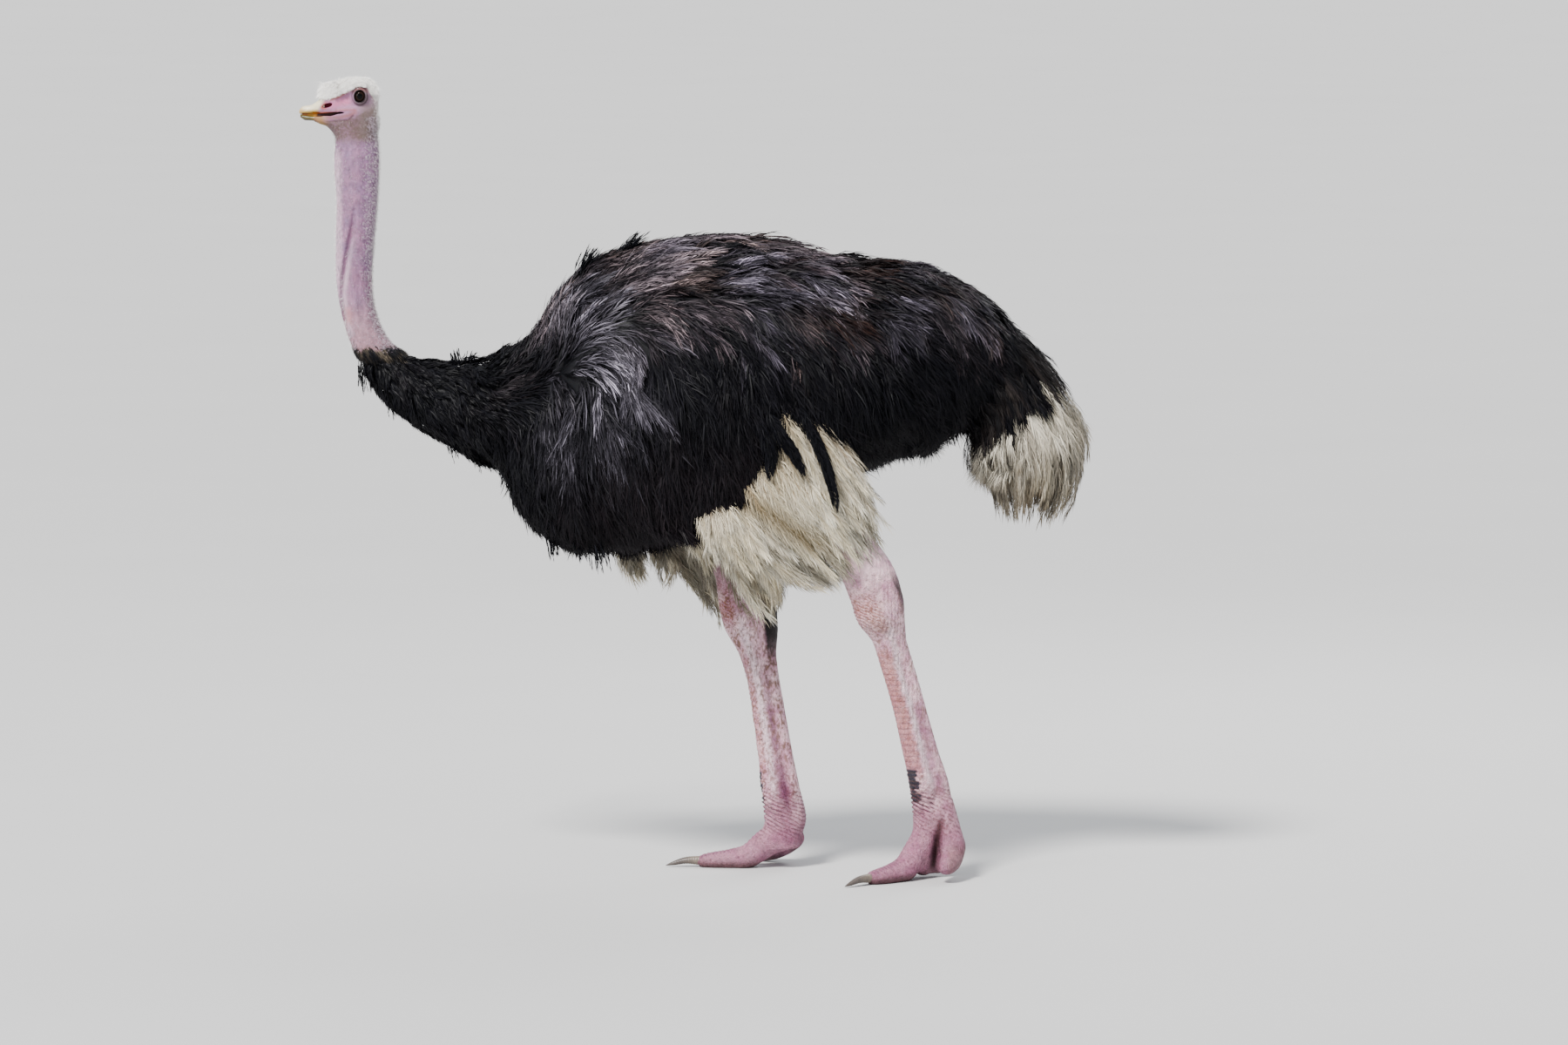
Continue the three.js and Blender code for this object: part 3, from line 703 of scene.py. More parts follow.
def bill_colour(p):
    """Horn of the bill and the skin that carries on from it."""
    x, z = p[:, 0], p[:, 2]
    streak = noise(p * [0.4, 1, 1.6], 2.0, 9)
    # paler towards the top of the upper bill: the horn's own cream, and a painted highlight
    upper = mix(even(srgb(196, 168, 118), len(p)), srgb(242, 232, 208), ease(z - UPPER_EDGE(x), 4, 12))
    upper = mix(upper, srgb(196, 168, 126), 0.6 * ease(x, -882, -893))
    upper = mix(upper, srgb(150, 96, 48), 0.85 * ease(z - UPPER_EDGE(x), 3.2, 1.2) * ease(x, -892, -884))
    lower = mix(even(srgb(144, 116, 72), len(p)), srgb(74, 66, 30), ease(x, -852, -872))
    lower = mix(lower, srgb(52, 40, 26), 0.85 * ease(z - LOWER_KEEL(x), 6, 2) * ease(x, -850, -872))
    middle = (UPPER_EDGE(x) + LOWER_EDGE(x)) / 2
    return mix(lower, upper, ease(z - middle, -0.5, 0.5)) * (1 + 0.06 * streak)[:, None]


def neck_colour(p, blotch, fine):
    """Lilac skin with a painted highlight down the front edge and along the windpipe's ridge, painted shade
    in the furrow behind the windpipe, and darker brown where it meets the plumage.
    """
    x, away, z = p[:, 0], np.abs(p[:, 1]), p[:, 2]
    rgb = even(LILAC, len(p))
    rgb = mix(rgb, PINK, 0.12 + 0.22 * blotch)
    rgb = layers(
        rgb,
        ((146, 118, 146), 0.55 * ease(x, -772, -735) * ease(z, 1300, 1420)),
        # painted highlight down the front edge of the neck
        ((214, 190, 204), 0.75 * ease(x, -794, -808) * ease(z, 1650, 1610)),
        ((164, 138, 140), 0.6 * ease(z, 1330, 1230)),
    )
    # darker brown in a band just above the edge of the plumage
    hem = ease(collar(p), -22, -4) * (z < 1300)
    rgb = mix(rgb, srgb(92, 76, 68), 0.75 * hem * (0.7 + 0.6 * noise(p * [1, 1, 0.3], 5, 55)))
    rgb = rgb * (1 + 0.26 * fine + 0.26 * noise(p * [1, 1, 0.7], 4.5, 19))[:, None]
    # painted highlight along the windpipe's ridge, and painted shade in the furrow behind the windpipe
    ridge = strokes(p, WINDPIPE_RIDGE, 6.5) * ease(z, 1468, 1380) * (0.8 + 0.4 * blotch)
    rgb = layers(
        rgb,
        ((220, 200, 212), 0.62 * ridge * (away > 8)),
        ((100, 74, 92), 0.78 * strokes(p, WINDPIPE_FURROW, 4.5) * ease(z, 1510, 1440) * (away > 4)),
        ((176, 124, 120), 0.45 * strokes(p, [(-788, 1276), (-785, 1254)], 9)),
    )
    return rgb


def face_colour(p, rgb, blotch, fine):
    """Face, throat, lids, nostrils and mouth, laid over the neck's colour."""
    x, away, z = p[:, 0], np.abs(p[:, 1]), p[:, 2]
    face = ease(z, 1652, 1672)
    rgb = layers(
        rgb,
        ((164, 132, 154), 0.75 * face),
        ((132, 118, 124), 0.6 * ease(x, -775, -748) * face),
        ((206, 132, 160), 0.6 * strokes(p, [(-822, 1740), (-800, 1745), (-786, 1748)], 9) * face),
    )
    at = [-850, -832, -806, -784, -765, -745, -725]
    jaw_line = np.interp(x, at, [1700, 1702, 1704, 1707, 1716, 1728, 1735])
    throat = ease(z - jaw_line, 1, -3) * ease(z, 1646, 1668)
    lips = strokes(p, [(-830, 1711), (-804, 1712), (-782, 1717), (-768, 1724)], 4.6)
    cheek = strokes(p, [(-812, 1751), (-800, 1745), (-790, 1738)], 2.2)
    rgb = layers(
        rgb,
        ((92, 80, 72), 0.9 * throat * (0.85 + 0.35 * blotch + 0.35 * fine).clip(0.2, 1)),
        ((128, 116, 112), 0.5 * ease(x, -770, -740) * face * ease(z, 1745, 1735)),
        ((160, 112, 116), 0.7 * strokes(p, [(-812, 1727), (-792, 1730), (-768, 1729)], 3.0) * face),
        ((146, 106, 108), 0.8 * lips * face),
        ((138, 88, 74), 0.9 * strokes(p, BROW, 3.0) * (away > 16)),
        # painted shade: a dark line along the jaw's fold
        ((74, 60, 56), 0.8 * strokes(p, JAW_FOLD, 2.2)),
        ((150, 112, 128), 0.6 * cheek * (away > 16) * face),
    )
    onto_bill = 0.8 * ease(z, 1718, 1712) * ease(x, -824, -846)
    onto_bill = np.maximum(ease(x - 0.5 * (z - 1740), -838, -852), onto_bill) * face
    rgb = rgb + (bill_colour(p) - rgb) * onto_bill[:, None]
    ring = np.sqrt(((x - EYE[0]) / LID[0]) ** 2 + ((z - EYE[2]) / LID[1]) ** 2)
    side = away > 22
    rgb = layers(
        rgb,
        ((92, 78, 82), 0.8 * side * ease(ring, 1.9, 1.4) * (0.35 + 0.65 * ease(x - z, -2524, -2504))),
        # painted shade: dark brown just above the eye, for the upper lid's shadow
        ((116, 84, 82), 0.85 * side * ease(ring, 1.95, 1.6) * ease(z, 1764, 1773)),
        ((128, 114, 120), 0.7 * side * ease(ring, 1.34, 1.26) * ease(z, 1776, 1766)),
        # painted shade: a dark ring along the crease round the lids
        ((66, 56, 60), 0.75 * side * hump(ring - 1.50, 0.08)),
        ((24, 18, 20), side * ease(ring, 1.20, 1.10)),
    )
    crown = ease(z - crown_line(x), -2, 3) * face
    crown = np.maximum(crown, 0.25 * ease(x, -738, -716) * face * ease(z, 1690, 1730))
    rgb = mix(rgb, srgb(226, 212, 206), crown)
    along, across_slit = nostril(x, z)
    slit = np.hypot(along / 12.5, across_slit / 5.2)
    slit_edge = 0.7 * ease(slit, 1.6, 1.15) * ease(slit, 0.9, 1.1) * (away > 16) * face
    rgb = layers(
        rgb,
        ((92, 34, 44), ease(slit, 1.1, 0.8) * (away < 29) * (away > 8) * face),
        ((170, 84, 50), slit_edge * ease(x, -828, -836)),
    )
    middle = (UPPER_EDGE(x) + LOWER_EDGE(x)) / 2
    inside = (x < -790) * (np.abs(z - middle) < 5.2) * (away < BILL_HALF(x) - 2)
    lining = mix(even(srgb(36, 6, 8), len(p)), srgb(150, 112, 68), 0.8 * ease(x, -853, -858))
    lining = mix(lining, srgb(92, 58, 34), ease(x, -872, -878))
    rgb = rgb + (lining - rgb) * (inside * face)[:, None]
    edge = strokes(p, [(-866, 1720), (-828, 1723), (-800, 1725)], 1.6) * (away > 12)
    return mix(rgb, srgb(176, 98, 46), 0.7 * edge * ease(x, -800, -840))


def leg_colour(p, leg, blotch, fine):
    """Pink skin with plates down the front, dirt and callus, a painted highlight down a ridge, and painted
    shade in mauve hollows and in creases.
    """
    x, y, z = p[:, 0], p[:, 1], p[:, 2]
    stations = np.array(leg["stations"][::-1], float)
    cx, cy, deep, wide = (np.interp(z, stations[:, 2], stations[:, k]) for k in (0, 1, 3, 4))
    yaw = SHANK_TURN * leg["out"]
    u, v = (x - cx) / deep, (y - cy) * leg["side"] / wide
    front = -u * math.cos(yaw) + v * math.sin(yaw)
    b = y - cy
    _, _, z0 = leg["ball"]
    hock = leg["hock"]
    muddy = 1.0 if leg["side"] < 0 else 1.5
    rgb = mix(even(LEG_PINK, len(p)), srgb(180, 136, 158), (0.32 + 0.9 * blotch).clip(0, 1))
    shank = ease(z, z0 + 60, z0 + 120) * ease(z, hock + 20, hock - 60)
    # pale ridge down the middle as a painted highlight, and painted shade in mauve along the hollow behind it
    pale = hump(front - 0.32, 0.22) * shank
    rgb = mix(rgb, srgb(236, 220, 226), 0.75 * pale)
    hollow = hump(front + 0.12, 0.24) * ease(z, z0 + 50, z0 + 100) * ease(z, 470, 360)
    rgb = mix(rgb, srgb(112, 74, 98), 0.7 * hollow * (0.75 + 0.5 * blotch))
    speck = ease(noise(p, 3.2, 11) + 0.45 * blotch + 0.3 * noise(p, 1.9, 13), -0.05, 0.45)
    dirt = 0.5 + 0.35 * ease(front, -0.2, -0.8) + 0.25 * ease(front, 0.4, 0.9)
    dirt = dirt * ease(z, 90, 200) * ease(z, 700, 640)
    rgb = mix(rgb, LEG_DIRT, (dirt * speck * muddy).clip(0, 0.9))
    # reddish plates down the front of the shank
    row = (z - 0.10 * np.abs(b)) / SCUTE_PITCH
    ragged = 0.05 * np.sin(np.floor(row) * 2.4) + 0.07 * noise(p, 5, 29)
    plates = ease(z, z0 + 100, z0 + 150) * ease(z, hock - 50, hock - 120) * ease(front + ragged, 0.50, 0.74)
    scute = SCUTE_RED * (1 - 0.5 * ease(seam(row), 0.66, 0.92))[:, None]
    rgb = mix(rgb, scute, (0.72 if leg["side"] < 0 else 0.35) * plates)
    if leg["side"] < 0:
        pad = 0.8 * np.exp(-((z - hock - 52) / 44.0) ** 4) * ease(u, 0.88, 1.02)
        rgb = layers(
            rgb,
            ((104, 92, 76), 0.55 * spot(x - 415, 22, z - 575, 15)),
            ((104, 70, 92), 0.55 * spot(x - 360, 14, z - 680, 16)),
        )
    else:
        pad = np.exp(-((z - hock + 26) / 80.0) ** 4) * ease(u, 0.42, 0.58)
        bruise = spot(x - 199 - 0.12 * (165 - z), 17, z - 172, 56)
        rgb = mix(rgb, srgb(96, 54, 80), 0.75 * bruise * (y < cy + 12))
    rgb = mix(rgb, srgb(30, 26, 26), pad)
    # the bend of the hock: brownish, and darker in the grooves of its folds as painted shade
    rings = ripple(p, z + 0.5 * (x - cx), *HOCK_RINGS)
    bend = hump(z - hock - 8, 42) * ease(front, 0.25, 0.65)
    rgb = mix(rgb, srgb(136, 92, 80), bend * (0.35 + 0.4 * ease(rings, 0.0, 0.7)))
    # dark plates just above the foot
    ahead, outward = toe_axes(leg)
    q = p - np.array([*leg["ball"][:2], 0])
    fore, aside = q @ ahead, q @ outward
    comb = (z - 0.1 * np.abs(b)) / COMB_PITCH
    dark = ease(front + 0.06 * np.sin(np.floor(comb) * 2.1), 0.925, 0.965)
    dark = dark * ease(z, z0 + 56, z0 + 62) * ease(z, z0 + 140, z0 + 132)
    gap = ease(seam(comb), 0.70, 0.9)
    rgb = mix(rgb, mix(even(SLATE * 0.8, len(p)), LEG_DIRT * 0.5, 0.6 * gap), dark)
    toe_top = ease(fore, 90, 124) * ease(np.abs(aside), 17, 11) * ease(z, 12, 22) * (z < 70)
    rgb = mix(rgb, SLATE * 1.8, 0.8 * toe_top * (0.7 + 0.5 * np.sin(fore * 2 * math.pi / 8.5)).clip(0, 1))
    mauve = 0.16 * ease(z, z0 + 260, z0 + 140) + 0.54 * ease(z, z0 + 100, z0 - 20)
    rgb = layers(
        rgb,
        ((150, 102, 124), mauve * (1 - 0.85 * dark)),
        ((70, 52, 46), 0.75 * ease(z, 26, 4)),
        ((62, 50, 46), 0.6 * ease(fore, 2, -22) * ease(z, z0 - 20, z0 - 60)),
    )
    if leg["lift"]:
        # painted shade in the cleft between the lifted foot's toes
        cleft_shade = hump(x - 541 - 0.15 * (z - 90), 11) * ease(z, 156, 120) * ease(z, 10, 30)
        rgb = layers(
            rgb,
            ((52, 30, 32), 0.95 * cleft_shade),
            ((126, 104, 100), 0.55 * ease(x, 556, 570) * ease(z, 96, 60)),
        )
    if leg["side"] > 0:
        rgb = mix(rgb, srgb(132, 100, 108), 0.6 * ease(z, 600, 660))
    rgb = mix(rgb, THIGH, ease(z, 760, 820))
    # painted shade in the creases of the ankle's folds
    crease = ripple(p, z + 0.5 * (x - cx), *ANKLE_WAVER, 9.0)
    folds = ease(z, z0 + 120, z0 + 70) * ease(z, z0 - 40, z0 + 10)
    rgb = mix(rgb, srgb(92, 58, 62), 0.75 * folds * ease(crease, 0.45, 0.95))
    light = (1.18 - 0.26 * ease(z, z0 + 130, z0 + 30)) * (1 + 0.28 * fine + 0.22 * noise(p, 5, 23))
    return rgb * light[:, None]


def skin_colour(p):
    """Colour of the skin at a place: bare on face, neck and legs; under the plumage the plumage's black, also
    as painted shade in the gaps between plumes.
    """
    x, y, z = p[:, 0], p[:, 1], p[:, 2]
    blotch = noise(p, 26, 1) * 0.5 + noise(p, 9, 2) * 0.35 + noise(p, 4, 5) * 0.15
    fine = noise(p, 2.0, 7)
    rgb = face_colour(p, neck_colour(p, blotch, fine), blotch, fine)
    for leg in LEGS.values():
        near = ((y > -30) if leg["side"] > 0 else (y <= -30)) * (x > -200) * (z < 930)
        rgb = np.where(near[:, None], leg_colour(p, leg, blotch, fine), rgb)
    rgb = vivid(rgb, *VIVID_SKIN)
    # under the plumage: the plumage's own black, and painted shade in the gaps between plumes
    feathered = ease(body_distance(p), 14, 4) * (z > 700)
    feathered = np.maximum(feathered, ease(collar(p), 2, 10) * (x > -800) * (x < -400) * (z > 850))
    return mix(rgb, INK, feathered)


# ---------------------------------------------------------------- materials


def material(name, **sockets):
    m = bpy.data.materials.new(name)
    m.use_nodes = True
    shader = m.node_tree.nodes["Principled BSDF"]
    for key, value in sockets.items():
        shader.inputs[key.replace("_", " ")].default_value = value
    return m, shader


def node(tree, kind, inputs=(), **settings):
    n = tree.nodes.new("ShaderNode" + kind)
    for key, value in settings.items():
        setattr(n, key, value)
    for key, value in dict(inputs).items():
        if isinstance(value, bpy.types.NodeSocket):
            tree.links.new(value, n.inputs[key])
        else:
            n.inputs[key].default_value = value
    return n


def remap(tree, value, low, high, to_low, to_high):
    limits = {"From Min": low, "From Max": high, "To Min": to_low, "To Max": to_high}
    return node(tree, "MapRange", {"Value": value, **limits}).outputs["Result"]


def attribute_material(name, attribute, variation, grain, bump, **sockets):
    """Colour from a mesh attribute, with a fine grain over it that bump (strength, distance) also raises."""
    m, shader = material(name, **sockets)
    tree = m.node_tree
    colour = node(tree, "Attribute", attribute_name=attribute)
    place = node(tree, "TexCoord")
    texture = node(tree, "TexNoise", {"Vector": place.outputs["Object"], "Scale": grain, "Detail": 4.0})
    scale = remap(tree, texture.outputs["Fac"], 0.25, 0.75, 1 - variation, 1 + variation)
    tinted = node(tree, "VectorMath", {0: colour.outputs["Color"], 1: scale}, operation="MULTIPLY")
    tree.links.new(tinted.outputs["Vector"], shader.inputs["Base Color"])
    if bump:
        strength, distance = bump
        height = texture.outputs["Fac"]
        raised = node(tree, "Bump", {"Height": height, "Strength": strength, "Distance": distance})
        tree.links.new(raised.outputs["Normal"], shader.inputs["Normal"])
    return m


# ---------------------------------------------------------------- skin object

head_points = surface(head_and_neck, (-892, -60, 1110), (-640, 60, 1806), HEAD_CELL)
leg_points = []
for leg in LEGS.values():
    stations_x = np.array(leg["stations"])[:, 0]
    ball_x = leg["ball"][0]
    low_y, high_y = (-6, 236) if leg["side"] > 0 else (-252, 2)
    low = [min(stations_x.min() - 110, ball_x - 225), low_y, -4]
    high = [max(stations_x.max() + 70, ball_x + 90), high_y, 936]
    leg_points.append(surface(leg_field(leg), low, high, LEG_CELL))
body_points = surface(body_distance, (-800, -300, 680), (900, 300, 1480), BODY_CELL)
skin = joined_mesh("skin", [body_points, head_points, *leg_points])
places = vertices_of(skin)
colour_by_point(skin, "marking", skin_colour(places))
scaly = (places[:, 2] < 700).astype(FLOAT)
scaly_attribute = skin.data.attributes.new("scaly", "FLOAT", "POINT")
scaly_attribute.data.foreach_set("value", scaly)


def skin_look():
    """Bare skin: scales on the legs, and dirt between them; pores and down on the neck."""
    look = attribute_material(
        "bare_skin", "marking", 0.14, 420.0, (0.6, 0.0010), Roughness=0.55, Subsurface_Weight=0.06,
        Subsurface_Scale=0.004, Specular_IOR_Level=0.2,
    )
    tree = look.node_tree
    shader = tree.nodes["Principled BSDF"]
    bare_bump = next(n for n in tree.nodes if n.type == "BUMP")
    place = next(n for n in tree.nodes if n.type == "TEX_COORD").outputs["Object"]
    cells = node(tree, "TexVoronoi", {"Vector": place, "Scale": 260.0}, feature="DISTANCE_TO_EDGE")
    edge = cells.outputs["Distance"]
    wide = remap(tree, edge, 0.0, 0.25, 0.0, 1.0)
    mask = node(tree, "Attribute", attribute_name="scaly").outputs["Fac"]
    strength = node(tree, "Math", {0: wide, 1: mask}, operation="MULTIPLY")
    raised = {"Height": strength.outputs["Value"], "Strength": 0.7, "Distance": 0.0012}
    scales = node(tree, "Bump", {**raised, "Normal": bare_bump.outputs["Normal"]})
    tree.links.new(scales.outputs["Normal"], shader.inputs["Normal"])
    dots = node(tree, "TexNoise", {"Vector": place, "Scale": 210.0, "Detail": 5.0, "Roughness": 0.7})
    spots = remap(tree, dots.outputs["Fac"], 0.53, 0.64, 0.0, 1.0)
    seams = remap(tree, edge, 0.0, 0.12, 0.45, 0.0)
    worn = node(tree, "Math", {0: spots, 1: seams}, operation="MAXIMUM")
    share = remap(tree, mask, 0.0, 1.0, 0.28, 0.80)
    amount = node(tree, "Math", {0: worn.outputs["Value"], 1: share}, operation="MULTIPLY")
    base = shader.inputs["Base Color"].links[0].from_socket
    stain = node(tree, "VectorMath", {0: base, 1: (0.38, 0.33, 0.31)}, operation="MULTIPLY")
    shown = node(tree, "Mix", {"Factor": amount.outputs["Value"]}, data_type="RGBA")
    clean_colour, stained_colour, result = shown.inputs[6], shown.inputs[7], shown.outputs[2]
    tree.links.new(base, clean_colour)
    tree.links.new(stain.outputs["Vector"], stained_colour)
    tree.links.new(result, shader.inputs["Base Color"])
    return look


skin.data.materials.append(skin_look())
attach(skin, "root")
FLESH_NODES = (
    "head", "neck_", "trunk", "wing_left", "wing_right", "drumstick", "hock", "shank", "big_toe", "small_toe",
)
FLESH = [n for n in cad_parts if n.startswith(FLESH_NODES)]
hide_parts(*FLESH)

# ---------------------------------------------------------------- plumage

RIBBON = np.array([[0, 1, 3], [0, 3, 2], [2, 3, 4]])
CORNERS = np.array([0, 0, 0.5, 0.5, 1.0])  # how far along its ribbon each corner is
PLUME_PATCH, TUFT_PATCH = 0.0028, 0.0026  # sizes in the bake's picture, whose side is 1


def ribbons(base, middle, tip, across, width):
    """Tapering two-part ribbons: five corners each."""
    w = across * width[..., None] / 2
    return np.stack([base - w * 0.8, base + w * 0.8, middle - w, middle + w, tip], -2)


def twisted(along, normal, turn):
    """Which way a ribbon's width lies, turned about its length."""
    flat = unit(np.cross(along, normal))
    up = unit(np.cross(flat, along))
    return flat * np.cos(turn)[..., None] + up * np.sin(turn)[..., None]


class Coat:
    """Ribbons with a colour and a bake patch each, written out as pieces under the size limit."""

    def __init__(self):
        self.corners, self.colours, self.patches = [], [], []

    def add(self, corners, colours, patches):
        self.corners.append(corners.reshape(-1, 5, 3))
        self.colours.append(colours.reshape(-1, 5, 3))
        self.patches.append(patches.reshape(-1, 5, 2))

    def write(self, name, look, slot, replaced=()):
        corners, colours, patches = (np.concatenate(v) for v in (self.corners, self.colours, self.patches))
        pieces = math.ceil(len(corners) / PIECE_RIBBONS)
        order = np.argsort(corners[:, 0, 0], kind="stable")
        for k, pick in enumerate(np.array_split(order, pieces)):
            n = len(pick)
            faces = (np.arange(n)[:, None, None] * 5 + RIBBON).reshape(-1, 3)
            title = name if pieces == 1 else f"{name}_{k + 1}"
            obj = mesh_object(title, corners[pick].reshape(-1, 3), faces, smooth=False)
            colour_by_point(obj, "marking", colours[pick].reshape(-1, 3))
            layer = obj.data.uv_layers.new(name="OFBake")
            corner_uv = patches[pick].reshape(-1, 2)[faces.ravel()]
            layer.uv.foreach_set("vector", corner_uv.astype(FLOAT).ravel())
            obj.data.materials.append(look)
            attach(obj, "root")
            if replaced:
                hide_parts(*replaced)


def unwrap(p):
    """A place on the flattened skin: along the bird's length, and round it."""
    at = [-900, -800, -740, -450, 0, 450, 750, 900]
    spine_z = np.interp(p[..., 0], at, [1740, 1600, 1300, 1050, 1100, 1130, 1020, 1000])
    tall = p[..., 2] - spine_z
    around = np.arctan2(p[..., 1], tall) / (2 * math.pi) + 0.5
    along = (p[..., 0] + 900) / 1800
    return np.stack([0.02 + 0.96 * along, 0.02 + 0.96 * around], -1)


def head_unwrap(p):
    """The same for head and neck, which run upwards."""
    around = np.arctan2(p[..., 1], p[..., 0] + 768) / (2 * math.pi) + 0.5
    return np.stack([0.02 + 0.96 * around, 0.02 + 0.96 * np.clip((p[..., 2] - 1050) / 760, 0, 1)], -1)


def plumes(
    paths, normals, count, reach, angle, width, rng, droop=0.2, cling=0.5, lift=0.12, turn=0.7, bare=0.04,
    stray=0.10,
):
    """Barbs down both sides of shafts that run through paths (M, K, 3)."""
    m, k, _ = paths.shape
    tangent = unit(np.gradient(paths, axis=1))
    t = (np.arange(count) + rng.random((m, count))) / count
    t = bare + (1 - bare) * t
    side = np.where(np.arange(count) % 2, 1.0, -1.0)[None, :, None]
    at = t * (k - 1)
    i = np.clip(at.astype(int), 0, k - 2)
    r = (at - i)[..., None]
    row = np.arange(m)[:, None]
    base = paths[row, i] * (1 - r) + paths[row, i + 1] * r
    along = unit(tangent[row, i] * (1 - r) + tangent[row, i + 1] * r)
    up = unit(normals[row, i] * (1 - r) + normals[row, i + 1] * r)
    flat = unit(np.cross(along, up))
    up = np.cross(flat, along)
    length = reach[:, None] * (1 - 0.5 * t) * np.clip(0.55 + 2 * t, 0, 1)
    length = length * rng.uniform(0.7, 1.25, (m, count))
    tilt = angle * (1 - 0.55 * t) * rng.uniform(0.6, 1.3, (m, count))
    out = flat * side * np.sin(tilt)[..., None] + along * np.cos(tilt)[..., None]
    out = unit(out + up * (lift * rng.normal(size=(m, count)))[..., None])
    middle = base + out * (length * 0.5)[..., None]
    down = np.array([0, 0, -1.0])
    bent = unit(out * (1 - cling) + along * cling + down * droop + rng.normal(size=(m, count, 3)) * stray)
    tip = middle + bent * (length * 0.55)[..., None]
    across = twisted(out, up, rng.normal(size=(m, count)) * turn)
    barb = ribbons(base, middle, tip, across, np.broadcast_to(np.asarray(width).reshape(-1, 1), (m, count)))
    return barb, t


def patches(root_uv, t):
    """A small patch at each root's place, holding the whole plume."""
    across = ((np.arange(t.shape[1]) % 7) / 7 - 0.43)[None, :, None] * PLUME_PATCH + 0 * CORNERS
    along = (t[..., None] * 0.6 + CORNERS * 0.4 - 0.5) * PLUME_PATCH
    return root_uv[:, None, None, :] + np.stack([along + 0 * across, across + 0 * along], -1)


def shaft_patches(root_uv, count):
    return patches(root_uv, np.broadcast_to(np.linspace(0.1, 0.9, count), (len(root_uv), count)))


def shaft(paths, normals, width):
    """The shafts themselves, as chains of ribbons."""
    a, c = paths[:, :-2:2], paths[:, 2::2]
    b = paths[:, 1:-1:2]
    n = b.shape[1]
    across = unit(np.cross(unit(c[:, :n] - a[:, :n]), normals[:, 1:-1:2]))
    return ribbons(a[:, :n], b, c[:, :n], across, width * np.linspace(1.0, 0.5, n)[None])


def flow(p, n):
    """Which way the plumage lies at a place on the body, given its normal there."""
    x, _, z = p.T
    slope = (BACK(x + 9) - BACK(x - 9)) / 18
    height = (z - BELLY(x)) / np.maximum(BACK(x) - BELLY(x), 60)
    top = ease(height, 0.55, 0.86)
    rear = np.interp(x, [-450, -300, -50, 250, 500, 800], [0.02, 0.06, 0.20, 0.45, 0.70, 0.30])
    zero = np.zeros_like(x)
    down = unit(np.stack([rear, zero, -1 + zero], -1))
    along = unit(np.stack([1 + zero, zero, np.clip(slope, -2.5, 1.4) - 0.05], -1))
    d = mix(down, along, top)
    at = [-760, -690, -600, -500]
    back, fall = np.interp(x, at, [0.1, 0.6, 0.9, 0.7]), np.interp(x, at, [1, 0.8, 0.45, 0.6])
    necks = unit(np.stack([back, zero, -fall], -1))
    d = mix(d, necks, ease(x, -430, -520))
    swirl = np.stack([noise(p, 75, 31), noise(p, 75, 37), noise(p, 75, 41)], -1)
    swirl = swirl * (0.30 + 0.35 * top)[:, None]
    d = d + swirl + 0.16 * np.stack([noise(p, 26, 43), noise(p, 26, 47), noise(p, 26, 53)], -1)
    d = d - (d * n).sum(-1, keepdims=True) * n
    d = unit(d)
    d[:, 2] -= 0.35 * ease(n[:, 2], -0.25, -0.8)
    return unit(d)


def lay(roots, length, height, way):
    """Shafts that start on the skin and run with the lie of the coat, rising to a height above it."""
    p = roots.copy()
    paths, normals = [p.copy()], [gradient(body_distance, p.astype(FLOAT)).astype(float)]
    for k in range(1, SHAFT_POINTS):
        p = p + way(p, normals[-1]) * (length / (SHAFT_POINTS - 1))[:, None]
        n = gradient(body_distance, p.astype(FLOAT)).astype(float)
        want = height * (1 - (1 - k / (SHAFT_POINTS - 1)) ** 1.7)
        rise = np.clip(want - body_distance(p.astype(FLOAT)), -30, 30)
        p = p + n * rise[:, None]
        paths.append(p.copy())
        normals.append(n)
    return np.stack(paths, 1), np.stack(normals, 1)


def scatter(points, quads, density, count, rng):
    """Random places on a mesh of quads, thicker where density is higher."""
    a, b, c, d = (points[quads[:, k]] for k in range(4))
    area = np.linalg.norm(np.cross(c - a, d - b), axis=1) / 2 * density((a + b + c + d) / 4)
    pick = rng.choice(len(quads), count, p=area / area.sum())
    u, v = rng.random((2, count, 1))
    return (a[pick] * (1 - u) + b[pick] * u) * (1 - v) + (d[pick] * (1 - u) + c[pick] * u) * v


TAIL_X = [560, 588, 635, 657, 686, 706, 759, 814]
TAIL_Z = [700, 940, 930, 965, 1015, 1060, 1092, 1085]


def bulk(p):
    """How thickly the black plumes stand at a place."""
    x, y, z = p.T
    line = collar(p)
    keep = ease(line, 0, 4) * ease(x, 800, 780) * (1 + 2.8 * ease(line, 110, 20))
    keep = keep * ease(z - np.interp(x, TAIL_X, TAIL_Z), 18, 30)
    lit = 1 + 0.5 * ease(y, 0, -60) + 0.25 * ease(x, -420, -560)
    lit = lit + 1.4 * spot(x + 410, 70, z - 1130, 80)
    return keep * lit * np.where(x < -400, (z > 880), 1)


COUNT, LOCKS, BARBS, SHAFT_POINTS = 12300, 2400, 20, 5  # plumes, locks, a plume's barbs, a shaft's points
BLADE = np.array([0, 0, 0.55, 0.55, 1.0])  # how far along its barb each corner of a ribbon is
RUSTY_PIXELS = ((868, 299), (957, 306), (927, 338))  # rust-coloured tips, as they are in the photo
PHOTO_MIDDLE, PHOTO_FLOOR, MM_PER_PIXEL = 801, 1003, 1.967
# lower edge of the black over the near thigh, as (x, z)
HEM = np.array([
    (-45, 770), (-26, 784), (-8, 800), (8, 812), (20, 826), (36, 828), (48, 792), (60, 792), (74, 826),
    (104, 836), (122, 892), (150, 930),
])


